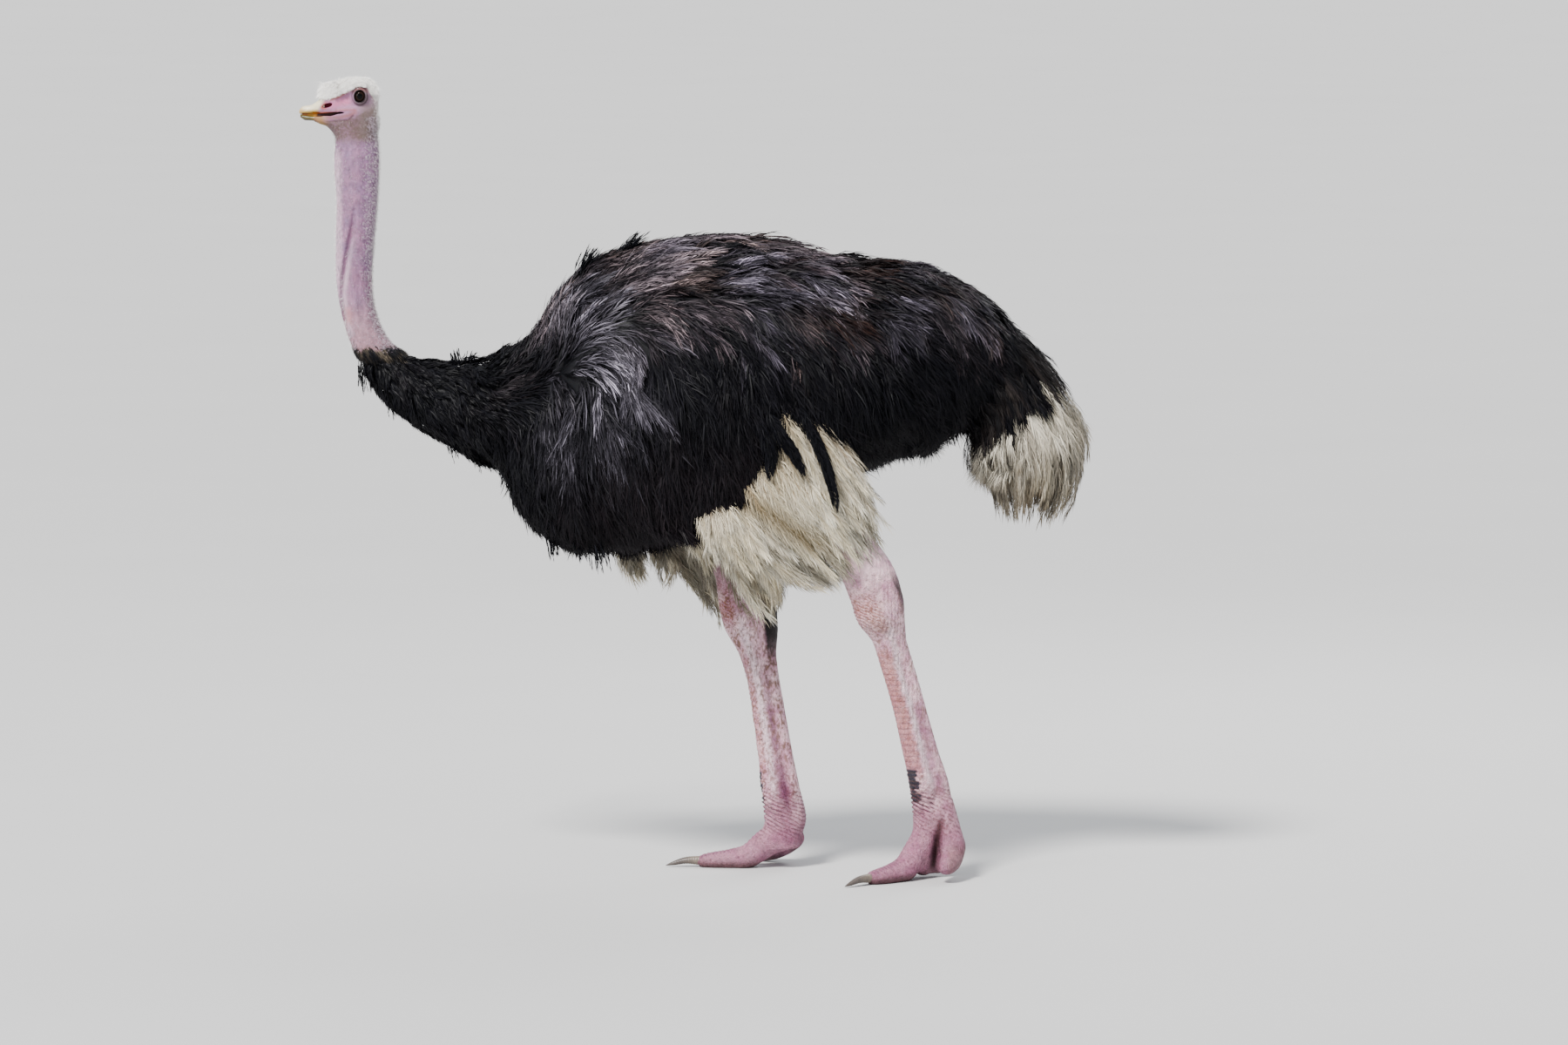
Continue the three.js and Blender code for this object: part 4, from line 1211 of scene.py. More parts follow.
def black_plumage():
    """Black plumes in locks over trunk, wings and the root of the neck."""
    rng = np.random.default_rng(7)
    roots = scatter(*body_points, bulk, COUNT, rng)
    x, y, z = roots.T
    height_share = (z - BELLY(x)) / np.maximum(BACK(x) - BELLY(x), 60)
    line = collar(roots)
    length = 118 + 30 * ease(height_share, 0.80, 0.55) * ease(x, -380, -250)
    length = length - 35 * ease(height_share, 0.2, 0.05)
    length = length - 55 * ease(z - np.interp(x, TAIL_X, TAIL_Z), 160, 60) * (x > 600)
    # over the near thigh the white shows higher up
    hem = np.interp(x, *HEM.T)
    short = (x > -45) & (x < 150) & (y < -90) & (z < 990)
    length = np.where(short, np.minimum(length, (z - hem).clip(20, None) * 0.95), length)
    length = np.where(x < -470, 62, length) * (0.45 + 0.55 * ease(line, 0, 70))
    length = length * rng.uniform(0.75, 1.2, COUNT)
    tall = rng.uniform(13, 27, COUNT) * (1 - 0.4 * ease(height_share, 0.3, 0.1) * ease(x, 300, 420))
    tall = tall * np.where(x < -560, 0.55, 1) * np.where(rng.random(COUNT) < 0.05, 1.35, 1)
    # neighbours gather in locks that lean and rise together, and later share their painted sheen
    heart = scatter(*body_points, bulk, LOCKS, rng)
    parts = np.array_split(roots, 40)
    lock = np.concatenate([((part[:, None] - heart[None]) ** 2).sum(-1).argmin(1) for part in parts])
    lean = rng.normal(size=(LOCKS, 3))[lock] * 0.24
    tall = tall * rng.uniform(0.75, 1.2, LOCKS)[lock]

    def leaning(p, n):
        return unit(flow(p, n) + lean - (lean * n).sum(-1, keepdims=True) * n)

    paths, ups = lay(roots, length, tall, leaning)
    members = np.bincount(lock, minlength=LOCKS)[:, None, None]
    sums = [np.bincount(lock, paths[:, k, a], LOCKS) for k in range(SHAFT_POINTS) for a in range(3)]
    middle = np.stack(sums, -1).reshape(-1, SHAFT_POINTS, 3) / np.maximum(members, 1)
    paths = paths + (middle[lock] - paths) * (0.5 * np.linspace(0, 1, SHAFT_POINTS) ** 1.5)[None, :, None]
    reach = length * np.interp(height_share, [0.5, 0.8], [0.55, 0.50])
    width = rng.uniform(1.8, 3.1, COUNT)
    barb, t = plumes(paths, ups, BARBS, reach, 0.36, width, rng, droop=0.2, cling=0.6)
    shafts = shaft(paths, ups, 2.0)

    root_rgb = even(INK, COUNT) * rng.uniform(0.6, 1.5, (COUNT, 1))
    brown = ease(height_share, 0.55, 0.35) * ease(x, -380, -250) * ease(x, 300, 120)
    root_rgb = mix(root_rgb, srgb(30, 23, 26), 0.6 * brown * rng.random(COUNT))
    shine = rng.random(LOCKS)[lock] ** 1.5
    patchy = np.clip(0.45 + 0.9 * noise(roots, 48, 61), 0, 1) * (0.25 + 0.75 * rng.random(COUNT))
    patchy = patchy * (0.25 + 1.1 * shine)
    # painted highlight: a bright patch of barb tips on the shoulder, with fainter streaks below it
    painted_sheen_patch = np.exp(-(((x + 262) / 125) ** 2 + ((z - 1205) / 62) ** 2) ** 1.5)
    painted_sheen_patch = painted_sheen_patch + 0.35 * np.exp(-(((x + 275) / 110) ** 2 + ((z - 1110) / 100) ** 2) ** 1.5)
    # pale tips along the top of the upper back: partly the feathers' own grey-brown, partly painted sheen
    cool = np.clip(noise(roots, 90, 67) + 0.5, 0, 1)
    pale = mix(even(srgb(176, 150, 146), COUNT), srgb(166, 156, 176), cool)
    upper = ease(height_share, 0.66, 0.84) * ease(x, -500, -400) * (0.35 + 0.65 * ease(x, 480, 150))
    tip_rgb = mix(root_rgb, pale, (0.03 + 1.3 * upper) * patchy.clip(0, 0.9))
    gleam = 1.2 * painted_sheen_patch * (0.25 + 0.75 * shine) * rng.random(COUNT)
    tip_rgb = mix(tip_rgb, srgb(196, 188, 206), gleam.clip(0, 1))
    rust = np.zeros(COUNT)
    for px, py in RUSTY_PIXELS:
        rust_x, rust_z = (px - PHOTO_MIDDLE) * MM_PER_PIXEL, (PHOTO_FLOOR - py) * MM_PER_PIXEL
        rust = np.maximum(rust, spot(x - rust_x, 40, z - rust_z + 10, 22))
    tip_rgb = mix(tip_rgb, srgb(84, 56, 44), 0.35 * rust)
    outward = np.clip((t[..., None] * 0.7 + BLADE * 0.5) ** 2 * 1.3, 0, 1)
    outward = outward * rng.random((*t.shape, 1)) ** 0.6
    barb_rgb = mix(root_rgb[:, None, None], tip_rgb[:, None, None], outward)
    barb_rgb = barb_rgb * rng.uniform(0.7, 1.3, (*t.shape, 1, 1))
    root_uv = unwrap(roots)
    black = Coat()
    black.add(barb, barb_rgb, patches(root_uv, t))
    shaft_rgb = np.broadcast_to(root_rgb[:, None, None], shafts.shape).copy()
    black.add(shafts, shaft_rgb, shaft_patches(root_uv, shafts.shape[1]))
    black.write("black_plumes", black_look, "black_plumage")


black_look = attribute_material(
    "black_plumage", "marking", 0.25, 300.0, None, Roughness=0.5, Specular_IOR_Level=0.10
)
black_plumage()

# white plumes of the wings, hanging over the thighs: the points, width and plumes of each stream
LONG_SHAFT_POINTS = 7
LONG_SHAFT = np.linspace(0, 1, LONG_SHAFT_POINTS)
LEAVES = {
    "wing_plumes_left": [
        ([(220, -262, 1064), (293, -250, 957), (362, -228, 856), (407, -200, 759)], 62, 34),
        ([(175, -264, 1084), (238, -252, 957), (313, -228, 836), (391, -202, 731)], 74, 44),
        ([(155, -258, 993), (205, -248, 893), (283, -226, 805), (362, -200, 707)], 84, 46),
        ([(124, -248, 921), (179, -236, 845), (254, -216, 776), (328, -190, 695)], 84, 44),
        ([(96, -236, 872), (148, -216, 796), (218, -196, 735), (303, -170, 677)], 76, 38),
        ([(254, -232, 1033), (325, -232, 943), (372, -222, 855), (397, -206, 802)], 40, 18),
        ([(20, -232, 850), (32, -232, 812), (50, -222, 770), (70, -206, 726)], 34, 16),
        ([(44, -234, 856), (68, -232, 808), (94, -220, 762), (120, -204, 712)], 58, 30),
        ([(80, -232, 852), (112, -226, 800), (144, -212, 750), (180, -190, 704)], 60, 26),
    ],
    "wing_plumes_right": [
        ([(-61, 236, 788), (-12, 250, 715), (28, 240, 634), (53, 222, 557)], 92, 40),
        ([(-110, 232, 788), (-71, 240, 728), (-22, 236, 670), (22, 226, 604)], 60, 22),
        ([(-96, 226, 777), (-87, 220, 726), (-77, 214, 682), (-73, 206, 641)], 40, 14),
        ([(-116, 226, 777), (-148, 222, 726), (-155, 214, 688), (-132, 206, 645)], 42, 16),
        ([(-2, 206, 801), (22, 206, 722), (49, 196, 650), (69, 184, 590)], 60, 18),
    ],
    "inner_plumes": [
        ([(89, -60, 838), (140, -66, 764), (214, -72, 702), (293, -74, 659)], 80, 30),
        ([(61, -30, 823), (89, -20, 736), (124, -6, 660), (163, 4, 584)], 84, 34),
        ([(100, -40, 817), (140, -40, 718), (175, -34, 662), (183, -30, 611)], 60, 22),
        ([(-8, 40, 832), (2, 52, 766), (16, 58, 712), (34, 60, 668)], 40, 9),
        ([(-45, 50, 843), (-22, 60, 778), (-2, 66, 728), (14, 70, 690)], 44, 12),
    ],
}
THIGH_SHADE_LINE = [(118, 858), (176, 826), (230, 790), (262, 762)]  # the line along which the brown thigh and its shade are painted onto the plumes, as (x, z)
CREAM = srgb(228, 214, 178)
# fawn: painted shade towards the roots of the white plumes
FAWN_SHADE = srgb(136, 108, 72)
PLUME_WHITE = srgb(252, 246, 228)
white_look = attribute_material(
    "white_plumage", "marking", 0.08, 300.0, None, Roughness=0.7, Specular_IOR_Level=0.25, Sheen_Weight=0.1,
    Sheen_Roughness=0.5,
)


def fan(tube, count, rng, start, finish, spread=0.8):
    """Shafts fanned out inside a flat lobe, from shares of its length to others."""
    aside = rng.uniform(-1, 1, count) * spread
    high = (rng.uniform(-1, 1, count) * 0.8)[:, None] * np.ones(LONG_SHAFT_POINTS)
    t0, t1 = rng.uniform(*start, count), rng.uniform(*finish, count)
    t = t0[:, None] + (t1 - t0)[:, None] * LONG_SHAFT
    aside = aside[:, None] * np.linspace(0.55, 1, LONG_SHAFT_POINTS)
    paths = tube.place(t, high, aside)
    facing = tube.place(t, high + 0.5, aside) - paths
    return paths, unit(facing + rng.normal(size=facing.shape) * 0.15)


def white_plumes(name, leaves):
    """The white plumes of one wing, or those between the legs, as streams that start under the black."""
    coat = Coat()
    rng = np.random.default_rng(len(name))
    for points, wide, count in leaves:
        line = np.array(points, float)
        line = np.vstack([line[0] - unit(line[1] - line[0]) * 55, line])
        flat = unit(np.cross(unit(line[-1] - line[0]), [0, 1, 0]))
        tube = Tube([(*q, 16, wide / 2) for q in line], side=flat, samples=40, rounded=(0.12, 0.2))
        count = int(count * 1.5)
        paths, ups = fan(tube, count, rng, start=(0.0, 0.42), finish=(0.62, 1.0), spread=0.9)
        level = (paths[:, 3, 1] - np.median(paths[:, 3, 1])) * (1 if line[:, 1].mean() > 100 else -1)
        # each bows its own way, and its root lies deep under the black
        bow = np.sin(
            np.linspace(0, math.pi, LONG_SHAFT_POINTS)
        )[None, :, None] * rng.normal(size=(count, 1, 1)) * 9
        paths = paths + bow * flat + (
            LONG_SHAFT ** 2
        )[None, :, None] * rng.normal(size=(count, 1, 3)) * [9, 5, 9]
        outer = ease(level, -9, 9)
        spots = paths.reshape(-1, 3).astype(FLOAT)
        depth = body_distance(spots).astype(float) + 17
        sunk = (
            depth.clip(0, 70).reshape(count, LONG_SHAFT_POINTS) * ease(LONG_SHAFT, 0.45, 0.08)
        )[..., None]
        paths = paths - gradient(body_distance, spots).astype(float).reshape(
            count, LONG_SHAFT_POINTS, 3
        ) * sunk
        reach = rng.uniform(26, 44, count)
        barb, t = plumes(
            paths, ups, 110, reach * 1.45, 0.55, rng.uniform(0.9, 1.5, count), rng, droop=0.25, cling=0.6,
            lift=0.12, turn=0.4, bare=0.06, stray=0.07,
        )
        # painted shade: plumes lying deeper in the stream are darker and the outer ones lighter; roots darker
        # and fawn
        shade = (0.34 + 0.80 * outer * rng.uniform(0.8, 1.05, count))[:, None]
        root = mix(even(CREAM, count), FAWN_SHADE, rng.uniform(0.4, 1.0, count)) * shade * 0.75
        tip = mix(even(CREAM, count), PLUME_WHITE, rng.uniform(0.2, 1, count)) * shade
        outward = np.clip(t[..., None] * 0.6 + BLADE * 0.6 - 0.1, 0, 1)
        tress = np.repeat(rng.uniform(0.55, 1.15, (count, 22)), 5, axis=1)[..., None, None]
        rgb = mix(root[:, None, None], tip[:, None, None], outward)
        rgb = rgb * rng.uniform(0.8, 1.1, (*t.shape, 1, 1)) * tress
        if name == "wing_plumes_left":
            # painted onto the plumes: the thigh's brown showing through them, and the shade it lies in
            thigh_shade = strokes(barb.reshape(-1, 3), THIGH_SHADE_LINE, 27).reshape(rgb.shape[:3])
            thigh_shade = 0.95 * thigh_shade * rng.uniform(0.5, 1.1, (*t.shape, 1))
            rgb = mix(rgb, srgb(92, 76, 44), thigh_shade.clip(0, 1))
        coat.add(barb, rgb.clip(0, 0.97), patches(unwrap(paths[:, 0]), t))
        spine = shaft(paths, ups, 2.2)
        spine_rgb = np.broadcast_to((root * 0.8)[:, None, None], spine.shape).copy()
        coat.add(spine, spine_rgb, shaft_patches(unwrap(paths[:, 0]), spine.shape[1]))
    coat.write(name + "_vanes", white_look, "white_plumage", [name])


for name, leaves in LEAVES.items():
    white_plumes(name, leaves)

# black streamers from the hind edge of the near wing, over the white
STREAMERS = (
    ([(155, -272, 1077), (181, -280, 1028), (214, -284, 980), (240, -276, 930)], 34, 26),
    ([(224, -268, 1092), (266, -280, 1009), (297, -282, 930), (317, -268, 840)], 34, 30),
    ([(132, -268, 1061), (151, -274, 1018), (165, -272, 969), (163, -262, 922)], 36, 22),
)


def streamers():
    rng = np.random.default_rng(11)
    coat = Coat()
    for points, wide, count in STREAMERS:
        flat = unit(np.cross(unit(np.subtract(points[-1], points[0]).astype(float)), [0, 1, 0]))
        tube = Tube([(*q, 8, wide / 2) for q in points], side=flat, samples=40, rounded=(0.1, 0.5))
        paths, ups = fan(tube, count, rng, start=(0, 0.2), finish=(0.6, 1.0))
        barb, t = plumes(
            paths, ups, 36, rng.uniform(26, 40, count), 0.35, rng.uniform(1.6, 2.6, count), rng, droop=0.3,
            cling=0.6,
        )
        root = even(INK, count) * rng.uniform(0.6, 1.6, (count, 1))
        rgb = np.broadcast_to(root[:, None, None], barb.shape) * rng.uniform(0.7, 1.4, (*t.shape, 1, 1))
        coat.add(barb, rgb, patches(unwrap(paths[:, 0]), t))
    coat.write("streamers", black_look, "black_plumage")


streamers()

# tufts that stand off the outline, as in the photo: place, direction, length and plumes of each
TUFTS = (
    ((-262, -20, 1358), (0.45, 0, 0.89), 58, 36),
    ((-172, -16, 1398), (0.62, 0, 0.78), 60, 34),
    ((-199, -10, 1380), (0.91, 0, 0.41), 80, 34),
    ((-230, -10, 1370), (0.85, 0, 0.5), 36, 20),
    ((-545, 0, 1146), (-0.1, 0, 1.0), 32, 16),
    ((-522, 8, 1150), (0.3, 0, 1.0), 26, 14),
    ((-756, -6, 1158), (0.05, 0, -1.0), 46, 26),
    ((-690, 0, 1078), (0.25, 0, -0.95), 30, 16),
    ((-560, -6, 990), (0.3, 0, -0.95), 34, 20),
    ((-500, -10, 975), (0.2, 0, -1.0), 42, 24),
    ((-462, 0, 980), (0.3, 0, -1.0), 40, 20),
    ((722, -20, 1196), (0.85, 0, -0.45), 40, 20),
    ((735, 20, 1168), (0.9, 0, -0.4), 38, 18),
    ((-330, -60, 772), (0.1, 0, -1.0), 38, 22),
    ((-270, -90, 766), (0.1, 0, -1.0), 34, 20),
    ((-225, -90, 760), (0.15, 0, -1.0), 44, 26),
    ((-180, 40, 760), (0.2, 0, -1.0), 38, 22),
    ((470, -60, 985), (0.3, 0, -1.0), 34, 16),
    ((560, 30, 1018), (0.3, 0, -1.0), 36, 16),
)


def stray_tufts():
    rng = np.random.default_rng(17)
    coat = Coat()
    for place, way, reach, count in TUFTS:
        start = np.array(place, float) + rng.normal(size=(count, 3)) * [8, 20, 5]
        heading = unit(np.array(way, float) + rng.normal(size=(count, 3)) * 0.12)
        size = reach * rng.uniform(0.7, 1.25, count)
        bow = np.array([0, 0, -1.0]) * (size * 0.18)[:, None]
        steps = np.linspace(0, 1, 5)[None, :, None]
        paths = start[:, None] + heading[:, None] * size[:, None, None] * steps + bow[:, None] * steps**2
        ups = np.broadcast_to(unit(np.cross(heading, [0, 1.0, 0.2]))[:, None], paths.shape)
        barb, t = plumes(
            paths, ups, 14, size * 0.45, 0.2, rng.uniform(1.6, 2.6, count), rng, droop=0.1, cling=0.6
        )
        root = even(INK, count) * rng.uniform(0.8, 2.5, (count, 1))
        coat.add(
            barb, np.broadcast_to(root[:, None, None], barb.shape).copy(), patches(unwrap(paths[:, 0]), t)
        )
    coat.write("stray_tufts", black_look, "black_plumage")


stray_tufts()

def tail():
    """Black coverts over shaggy white plumes that hang."""
    rng = np.random.default_rng(31)
    tail_coat, covert_coat = Coat(), Coat()
    for coat, count, start, finish, dark in (
        (tail_coat, 360, (0.10, 0.42), (0.62, 0.88), False),
        (covert_coat, 420, (0.0, 0.14), (0.22, 0.36), True),
    ):
        turn = rng.uniform(0, 2 * math.pi, count)
        out = np.sqrt(rng.uniform(0.35, 1, count)) * 0.93
        t0, t1 = rng.uniform(*start, count), rng.uniform(*finish, count)
        rearward = ease(np.cos(turn) * out, -0.60, -0.15)
        if dark:
            t1 = t1 + 0.27 * (1 - rearward)
        else:
            t0 = t0 + 0.22 * (1 - rearward)
        t = t0[:, None] + (t1 - t0)[:, None] * LONG_SHAFT
        wave = 0.07 * rng.normal(size=(count, 1)) * np.sin(np.linspace(0, 5, LONG_SHAFT_POINTS))[None]
        emerge = 1.0 if dark else 0.68 + 0.32 * ease(LONG_SHAFT, 0.1, 0.5)
        deep, wide = ((((side * out)[:, None] + wave) * emerge) for side in (np.cos(turn), np.sin(turn)))
        paths = tail_tube.place(t, deep, wide)
        if not dark:
            clump = ease(np.sin(turn * 11 + 3 * np.sin(turn * 3)) + 0.5 * rng.normal(size=count), -0.2, 1.1)
            hang = (46 * clump * ease(t1, 0.68, 0.84))[:, None] * LONG_SHAFT ** 2.2
            paths[..., 2] -= hang
        heart = tail_tube.place(t, 0 * t, 0 * t)
        ups = unit(paths - heart)
        reach = rng.uniform(32, 52, count)
        barb, share = plumes(
            paths, ups, 40 if dark else 90, reach * 1.3, 0.36, rng.uniform(1.2, 2.0, count), rng,
            droop=0.45, cling=0.55, lift=0.14, turn=0.5, bare=0.05, stray=0.09,
        )
        if dark:
            root = even(INK, count) * rng.uniform(0.6, 1.5, (count, 1))
            tip = mix(root, srgb(80, 70, 64), 0.3 * rng.random(count))
        else:
            # painted shade: about a third of the plumes are darkened, as if in shadow among the others
            shaded = rng.random((count, 1)) < 0.35
            shade = np.where(shaded, rng.uniform(0.3, 0.55, (count, 1)), rng.uniform(0.7, 1.02, (count, 1)))
            root = mix(even(PLUME_WHITE, count), FAWN_SHADE, rng.uniform(0.0, 0.35, count)) * shade
            soiled = mix(even(CREAM, count), srgb(96, 72, 36), rng.uniform(0.6, 1, count))
            tip = mix(root, soiled * shade * 0.8, 0.95)
        outward = np.clip(share[..., None] * 0.9 + BLADE * 0.3 - 0.15, 0, 1)
        rgb = mix(
            root[:, None, None], tip[:, None, None], outward
        ) * rng.uniform(0.65, 1.1, (*share.shape, 1, 1))
        coat.add(barb, rgb.clip(0, 0.97), patches(unwrap(paths[:, 0]), share))
    tail_coat.write("tail_plumes_vanes", white_look, "white_plumage", ["tail_plumes"])
    covert_coat.write("tail_coverts_vanes", black_look, "black_plumage", ["tail_coverts"])


tail()

# ---------------------------------------------------------------- down of the head and neck


def tufts(
    roots, normals, lie, blades, length, width, stand, rng, spread, curl, droop=0.1, jitter=0.8, turn=0.35
):
    """Small locks: a few tapering blades from one root."""
    m = len(roots)
    one = lambda v: np.broadcast_to(np.asarray(v, float).reshape(-1, 1, 1), (m, 1, 1))
    fall = np.array([0, 0, -droop])
    up, flat = normals[:, None], lie[:, None]
    base = roots[:, None] + rng.normal(size=(m, blades, 3)) * jitter
    first = up * one(stand) + flat * (1 - one(stand)) + rng.normal(size=(m, blades, 3)) * spread
    first = unit(first)
    second = first * (1 - curl) + flat * curl + fall + rng.normal(size=(m, blades, 3)) * spread * 0.6
    second = unit(second)
    size = one(length)[..., 0] * rng.uniform(0.6, 1.25, (m, blades))
    middle = base + first * (size * 0.5)[..., None]
    tip = middle + second * (size * 0.5)[..., None]
    across = twisted(first, up + 0 * first, rng.normal(size=(m, blades)) * turn)
    return ribbons(base, middle, tip, across, np.broadcast_to(one(width)[..., 0], (m, blades)))


def tuft_patches(root_uv, blades):
    """A small patch at each root's place, with a strip for each blade."""
    along = (CORNERS - 0.5) * TUFT_PATCH
    across = ((np.arange(blades) + 0.5) / blades - 0.5) * TUFT_PATCH
    uv = np.stack(np.broadcast_arrays(along[None, :], across[:, None]), -1)
    return root_uv[:, None, None, :] + uv


def bare(p):
    """Distance to the skin of the head and neck."""
    return head_and_neck(p.astype(FLOAT)).astype(float)


def along_skin(lie, up, share):
    """A direction, bent by the share towards the surface whose normals are given."""
    return unit(lie - (lie * up).sum(1, keepdims=True) * up * share)


def crown_share(p):
    x, z = p[:, 0], p[:, 2]
    nape = 0.35 * ease(x + 0.15 * noise(p, 8, 77) * 30, -742, -712) ** 1.5 * ease(z, 1640, 1730)
    return np.maximum(ease(z - crown_line(x), 0, 4), nape) * (z > 1640)


def crown_down(fluff, rng):
    """White down that stands on the crown and runs down the nape."""
    crown_roots = scatter(*head_points, crown_share, 13500, rng)
    up = gradient(bare, crown_roots, 1.5)
    x, y, z = crown_roots.T
    back = np.interp(x, [-846, -800, -740], [-0.55, 0.1, 0.8])
    rise = np.interp(x, [-846, -800, -740, -716], [-0.45, 0.1, -0.2, -1])
    lie = along_skin(np.stack([back, y * 0.004, rise], -1), up, 0.7)
    low_nape = ease(z, 1772, 1752) * ease(x, -752, -736)
    size = rng.uniform(7, 14, len(x)) * np.where(rng.random(len(x)) < 0.07, 1.5, 1)
    size = size * (1 - 0.5 * low_nape) * (1 - 0.5 * ease(z - crown_line(x), 10, 0))
    size = size * (1 + 0.25 * ease(noise(crown_roots, 14, 93), 0.2, 0.8))
    width = 0.095 * size.clip(4, 10)
    blade = tufts(crown_roots, up, lie, 3, size, width, 0.42, rng, spread=0.36, curl=0.6, droop=0.15)
    shade = rng.uniform(0.92, 1.04, (len(x), 3, 1, 1)) * np.ones((1, 1, 5, 3))
    # painted rim light: low on the nape the down is grey, and stays white only where it faces rearwards
    greyer = low_nape * ease(up[:, 0], 0.95, 0.6)
    white = mix(even(srgb(255, 252, 248), len(x)), srgb(168, 158, 162), greyer)
    fluff.add(
        blade, (shade * white[:, None, None]).clip(0, 0.985), tuft_patches(head_unwrap(crown_roots), 3)
    )


def neck_share(p):
    x, z = p[:, 0], p[:, 2]
    behind = x - np.interp(z, [1200, 1268, 1430, 1700], [-737, -764, -772, -766])
    rear = ease(behind, 5, 30)
    front = ease(behind, -25, -38)
    return (z < 1715) * ease(collar(p), 4, 0) * (0.10 + 1.0 * rear ** 2 + 0.25 * front) * (x > -822)


def neck_hair(fluff, rng):
    """Short sparse hair, white where it stands against the light."""
    hair_roots = scatter(*head_points, neck_share, 9500, rng)
    up = gradient(bare, hair_roots, 1.5)
    x, _, z = hair_roots.T
    lie = unit(np.stack([0.25 + 0 * x, 0 * x, -1 + 0 * x], -1))
    lie = along_skin(lie, up, 0.8)
    edge = np.abs(up[:, 0])
    size = rng.uniform(3, 6, len(x)) * (1 + 0.6 * edge)
    stand = rng.uniform(0.25, 0.7, len(x))
    blade = tufts(hair_roots, up, lie, 2, size, 0.55, stand, rng, spread=0.3, curl=0.6)
    shade = rng.uniform(0.75, 1.1, (len(x), 2, 1, 1)) * np.ones((1, 1, 5, 3))
    whiter = edge**8 * 0.9 + 0.15 * rng.random(len(x))
    tint = mix(even(srgb(158, 138, 154), len(x)), WHITE_DOWN, whiter.clip(0, 1))
    tint = mix(tint, srgb(120, 106, 96), 0.8 * ease(z, 1640, 1665) * ease(x, -735, -750))
    fluff.add(blade, shade * tint[:, None, None], tuft_patches(head_unwrap(hair_roots), 2))


rng = np.random.default_rng(3)
fluff = Coat()
crown_down(fluff, rng)
neck_hair(fluff, rng)
down_look = attribute_material(
    "down", "marking", 0.06, 300.0, None, Roughness=0.8, Specular_IOR_Level=0.2, Sheen_Weight=0.1,
    Sheen_Roughness=0.5,
)
fluff.write("head_down", down_look, "down")


def edge_share(p):
    """A wavering band along the edge where the plumage starts."""
    return hump(collar(p) - 6 + 9 * noise(p, 9, 99), 9) * (p[:, 2] < 1260)


def neck_fringe(rng):
    """The fringe where the plumage starts."""
    fringe = Coat()
    edge_roots = scatter(*head_points, edge_share, 2600, rng)
    up = gradient(bare, edge_roots, 2.0)
    lie = unit(np.tile([0.55, 0, -0.85], (len(edge_roots), 1)))
    lie = along_skin(lie, up, 0.9)
    size = rng.uniform(9, 26, len(edge_roots))
    blade = tufts(
        edge_roots, up, lie, 4, size, 1.0, 0.03, rng, spread=0.14, curl=0.8, droop=0.2, jitter=1.2
    )
    beige = (0.15 + 1.3 * noise(edge_roots, 9, 15)).clip(0, 1) * ease(edge_roots[:, 1], 30, -10)
    pale = mix(even(INK * 2, len(edge_roots)), srgb(140, 126, 108), beige * rng.random(len(edge_roots)))
    outward = CORNERS[:, None]
    rgb = pale[:, None, None] * (1 - outward) + (pale * 0.25)[:, None, None] * outward
    fringe.add(blade, rgb * np.ones((1, 4, 1, 1)), tuft_patches(head_unwrap(edge_roots), 4))
    fringe.write("neck_fringe", black_look, "black_plumage")


neck_fringe(rng)

# ---------------------------------------------------------------- horn and eyes


def bill_upper(p):
    x, y = p[..., 0], p[..., 1]
    d = loft(p, UPPER_TOP, UPPER_EDGE, BILL_HALF, 2.4)
    d = np.maximum(d, np.maximum(BILL_TIP - x, x - BILL_ROOT))
    nail = strokes(p, [(-893, 1723), (-884, 1726), (-872, 1733), (-862, 1741)], 1.5)
    d = d + 0.8 * nail * (np.abs(y) > 3)
    d = merge(d, blob(p, (-890, 0, 1722.5), (5.5, 5.5, 4.5)), 3)
    return d + 0.15 * noise(p, 2.2, 5)


def bill_lower(p):
    x = p[..., 0]
    d = loft(p, LOWER_EDGE, LOWER_KEEL, BILL_HALF, 2.4, -0.4)
    d = np.maximum(d, np.maximum(BILL_TIP + 2 - x, x - BILL_ROOT))
    d = d + 0.7 * strokes(p, [(-888, 1711), (-872, 1708), (-858, 1706)], 1.4)
    return d + 0.15 * noise(p, 2.2, 6)


horn_look = attribute_material(
    "horn", "marking", 0.10, 500.0, (0.25, 0.0003), Roughness=0.38, Specular_IOR_Level=0.5, Coat_Weight=0.15
)
for name, field in (("bill_upper", bill_upper), ("bill_lower", bill_lower)):
    obj = mesh_object(name + "_horn", *surface(field, (-900, -30, 1695), (-834, 30, 1765), BILL_CELL))
    p = vertices_of(obj)
    rgb = vivid(bill_colour(p), *VIVID_SKIN)
    colour_by_point(obj, "marking", rgb)
    obj.data.materials.append(horn_look)
    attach(obj, "root")
    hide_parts(name)

claw_look = attribute_material(
    "claw", "marking", 0.15, 260.0, (0.3, 0.0004), Roughness=0.42, Specular_IOR_Level=0.5
)

CLAW_ROOT, CLAW_TIP, CLAW_RING = 184, 262, 5.5


def claw_field(leg):
    """The horn of a claw, as a function of places."""
    tube = digit(leg, CLAW, samples=60)
    ball = np.array([*leg["ball"][:2], 0])
    ahead, _ = toe_axes(leg)

    def field(p):
        u = (p - ball.astype(FLOAT)) @ ahead.astype(FLOAT)
        d = tube.distance(p) + 0.35 * np.sin(u * 2 * math.pi / CLAW_RING) * ease(u, CLAW_TIP, 240)
        d = d + 1.0 * hump(p[..., 2] - 8, 2.0) * ease(u, 260, 230) * 0.6
        return np.maximum(np.maximum(d, -p[..., 2]), CLAW_ROOT - u)

    return field


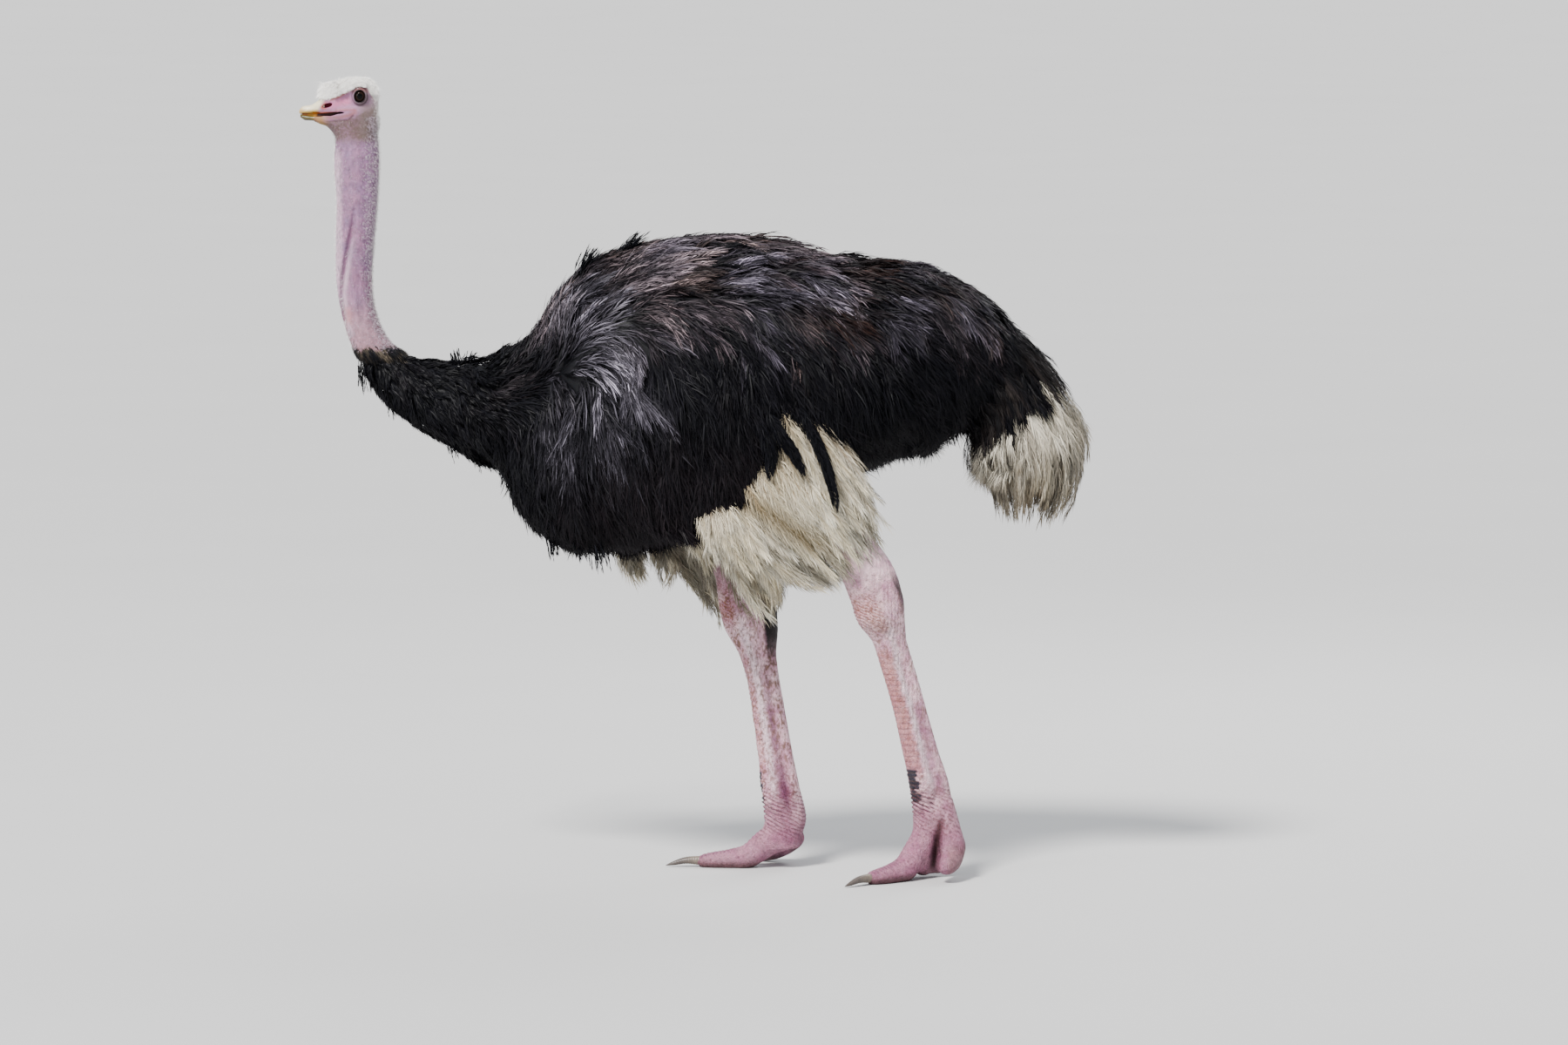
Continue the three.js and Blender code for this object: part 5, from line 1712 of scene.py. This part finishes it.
for side, leg in LEGS.items():
    ball = np.array([*leg["ball"][:2], 0])
    ahead, _ = toe_axes(leg)
    ends = np.stack([ball + ahead * 180, ball + ahead * 275])
    low, high = ends.min(0) - [14, 14, 3], ends.max(0) + [14, 14, 30]
    obj = mesh_object(f"claw_{side}_horn", *surface(claw_field(leg), low, high, CLAW_CELL))
    p = vertices_of(obj)
    worn = ease((p - ball) @ ahead, 240, 200) * (0.5 + 0.4 * noise(p * [1, 1, 0.4], 3, 2))
    rgb = mix(even(srgb(74, 66, 62), len(p)), srgb(132, 118, 104), worn)
    colour_by_point(obj, "marking", rgb)
    obj.data.materials.append(claw_look)
    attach(obj, "root")
    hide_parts(f"claw_{side}")

eye_look = attribute_material(
    "eyeball", "marking", 0.12, 700.0, None, Roughness=0.10, Specular_IOR_Level=0.10
)
EYE_RINGS, EYE_TURNS = 49, 96
for side, sign in (("left", -1), ("right", 1)):
    rings = np.linspace(0, math.pi, EYE_RINGS)
    turns = np.linspace(0, 2 * math.pi, EYE_TURNS + 1)[:-1]
    polar, around = np.meshgrid(rings, turns, indexing="ij")
    bulge = 1 + 0.025 * hump(polar, 0.42) - 0.012 * hump(polar - 0.50, 0.10)
    aside, ahead, up = np.sin(polar) * np.cos(around), np.cos(polar) * sign, np.sin(polar) * np.sin(around)
    ball = np.stack([aside, ahead, up], -1) * bulge[..., None] * (EYE_RADIUS - 0.3) + EYE * [1, sign, 1]
    grid = np.arange(EYE_RINGS * EYE_TURNS).reshape(EYE_RINGS, EYE_TURNS)
    turned = np.roll(grid, -1, 1)
    quads = np.stack([grid[:-1], turned[:-1], turned[1:], grid[1:]], -1).reshape(-1, 4)
    if sign > 0:
        quads = quads[:, ::-1]
    obj = mesh_object(f"eye_{side}_ball", ball.reshape(-1, 3), quads)
    fine = 1 + 0.25 * np.sin(around * 44 + 2 * noise(ball, 3, 4))
    iris = np.broadcast_to(srgb(30, 18, 13), (*polar.shape, 3))
    iris = mix(iris, srgb(14, 9, 8), ease(polar, 0.45, 0.56)) * fine[..., None]
    rgb = mix(iris, srgb(4, 3, 3), ease(polar, 0.30, 0.26))
    rgb = mix(rgb, srgb(30, 22, 20), ease(polar, 0.60, 0.64))
    colour_by_point(obj, "marking", rgb.reshape(-1, 3))
    obj.data.materials.append(eye_look)
    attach(obj, "root")
    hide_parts(f"eye_{side}")

# ---------------------------------------------------------------- camera, light and floor


def camera():
    data = bpy.data.cameras.new("camera")
    data.lens = 200.0
    data.sensor_width = 36.0
    cam = bpy.data.objects.new("camera", data)
    bpy.context.scene.collection.objects.link(cam)
    target = to_frame([195.0, 0.0, 793.0])
    rise, away = math.radians(6.0), 19.7
    cam.location = target + np.array([0, -math.cos(rise), math.sin(rise)]) * away
    cam.rotation_euler = (math.pi / 2 - rise, 0, 0)
    bpy.context.scene.camera = cam


def lamp(name, place, target, size, power, tint=(1, 1, 1)):
    data = bpy.data.lights.new(name, "AREA")
    data.shape = "RECTANGLE"
    data.size, data.size_y = size
    data.energy = power
    data.color = tint
    obj = bpy.data.objects.new(name, data)
    obj.location = place
    obj.rotation_euler = Vector(np.subtract(target, place)).to_track_quat("-Z", "Y").to_euler()
    bpy.context.scene.collection.objects.link(obj)


camera()
lamp("fill", (-4.5, -4.5, 3.4), (0, 0, 0.9), (3.0, 3.0), 150, (0.95, 0.97, 1.0))
lamp("back", (2.2, 3.2, 3.6), (0, 0, 1.0), (2.5, 2.0), 120)
data = bpy.data.lights.new("key", "SUN")
data.energy = 7.0
data.angle = math.radians(14)
data.color = (1.0, 0.975, 0.94)
key = bpy.data.objects.new("key", data)
key.rotation_euler = (math.radians(32), math.radians(-24), 0)
bpy.context.scene.collection.objects.link(key)
world = bpy.data.worlds.new("studio")
world.use_nodes = True
world.node_tree.nodes["Background"].inputs["Color"].default_value = (0.90, 0.94, 1.0, 1)
world.node_tree.nodes["Background"].inputs["Strength"].default_value = 0.85
bpy.context.scene.world = world

FLOOR_HALF, FLOOR_LEVEL = 3e5, -0.5
floor_corners = [
    (a * FLOOR_HALF, b * FLOOR_HALF, FLOOR_LEVEL) for a, b in ((-1, -1), (1, -1), (1, 1), (-1, 1))
]
floor = mesh_object("floor", np.array(floor_corners), [[0, 1, 2, 3]])
floor_material, shader = material("floor_paint", Roughness=0.75)
tree = floor_material.node_tree
place = node(tree, "TexCoord")
mottle = node(tree, "TexNoise", {"Vector": place.outputs["Object"], "Scale": 1.3, "Detail": 3.0})
tree.links.new(remap(tree, mottle.outputs["Fac"], 0.0, 1.0, 0.50, 0.53), shader.inputs["Base Color"])
floor.data.materials.append(floor_material)
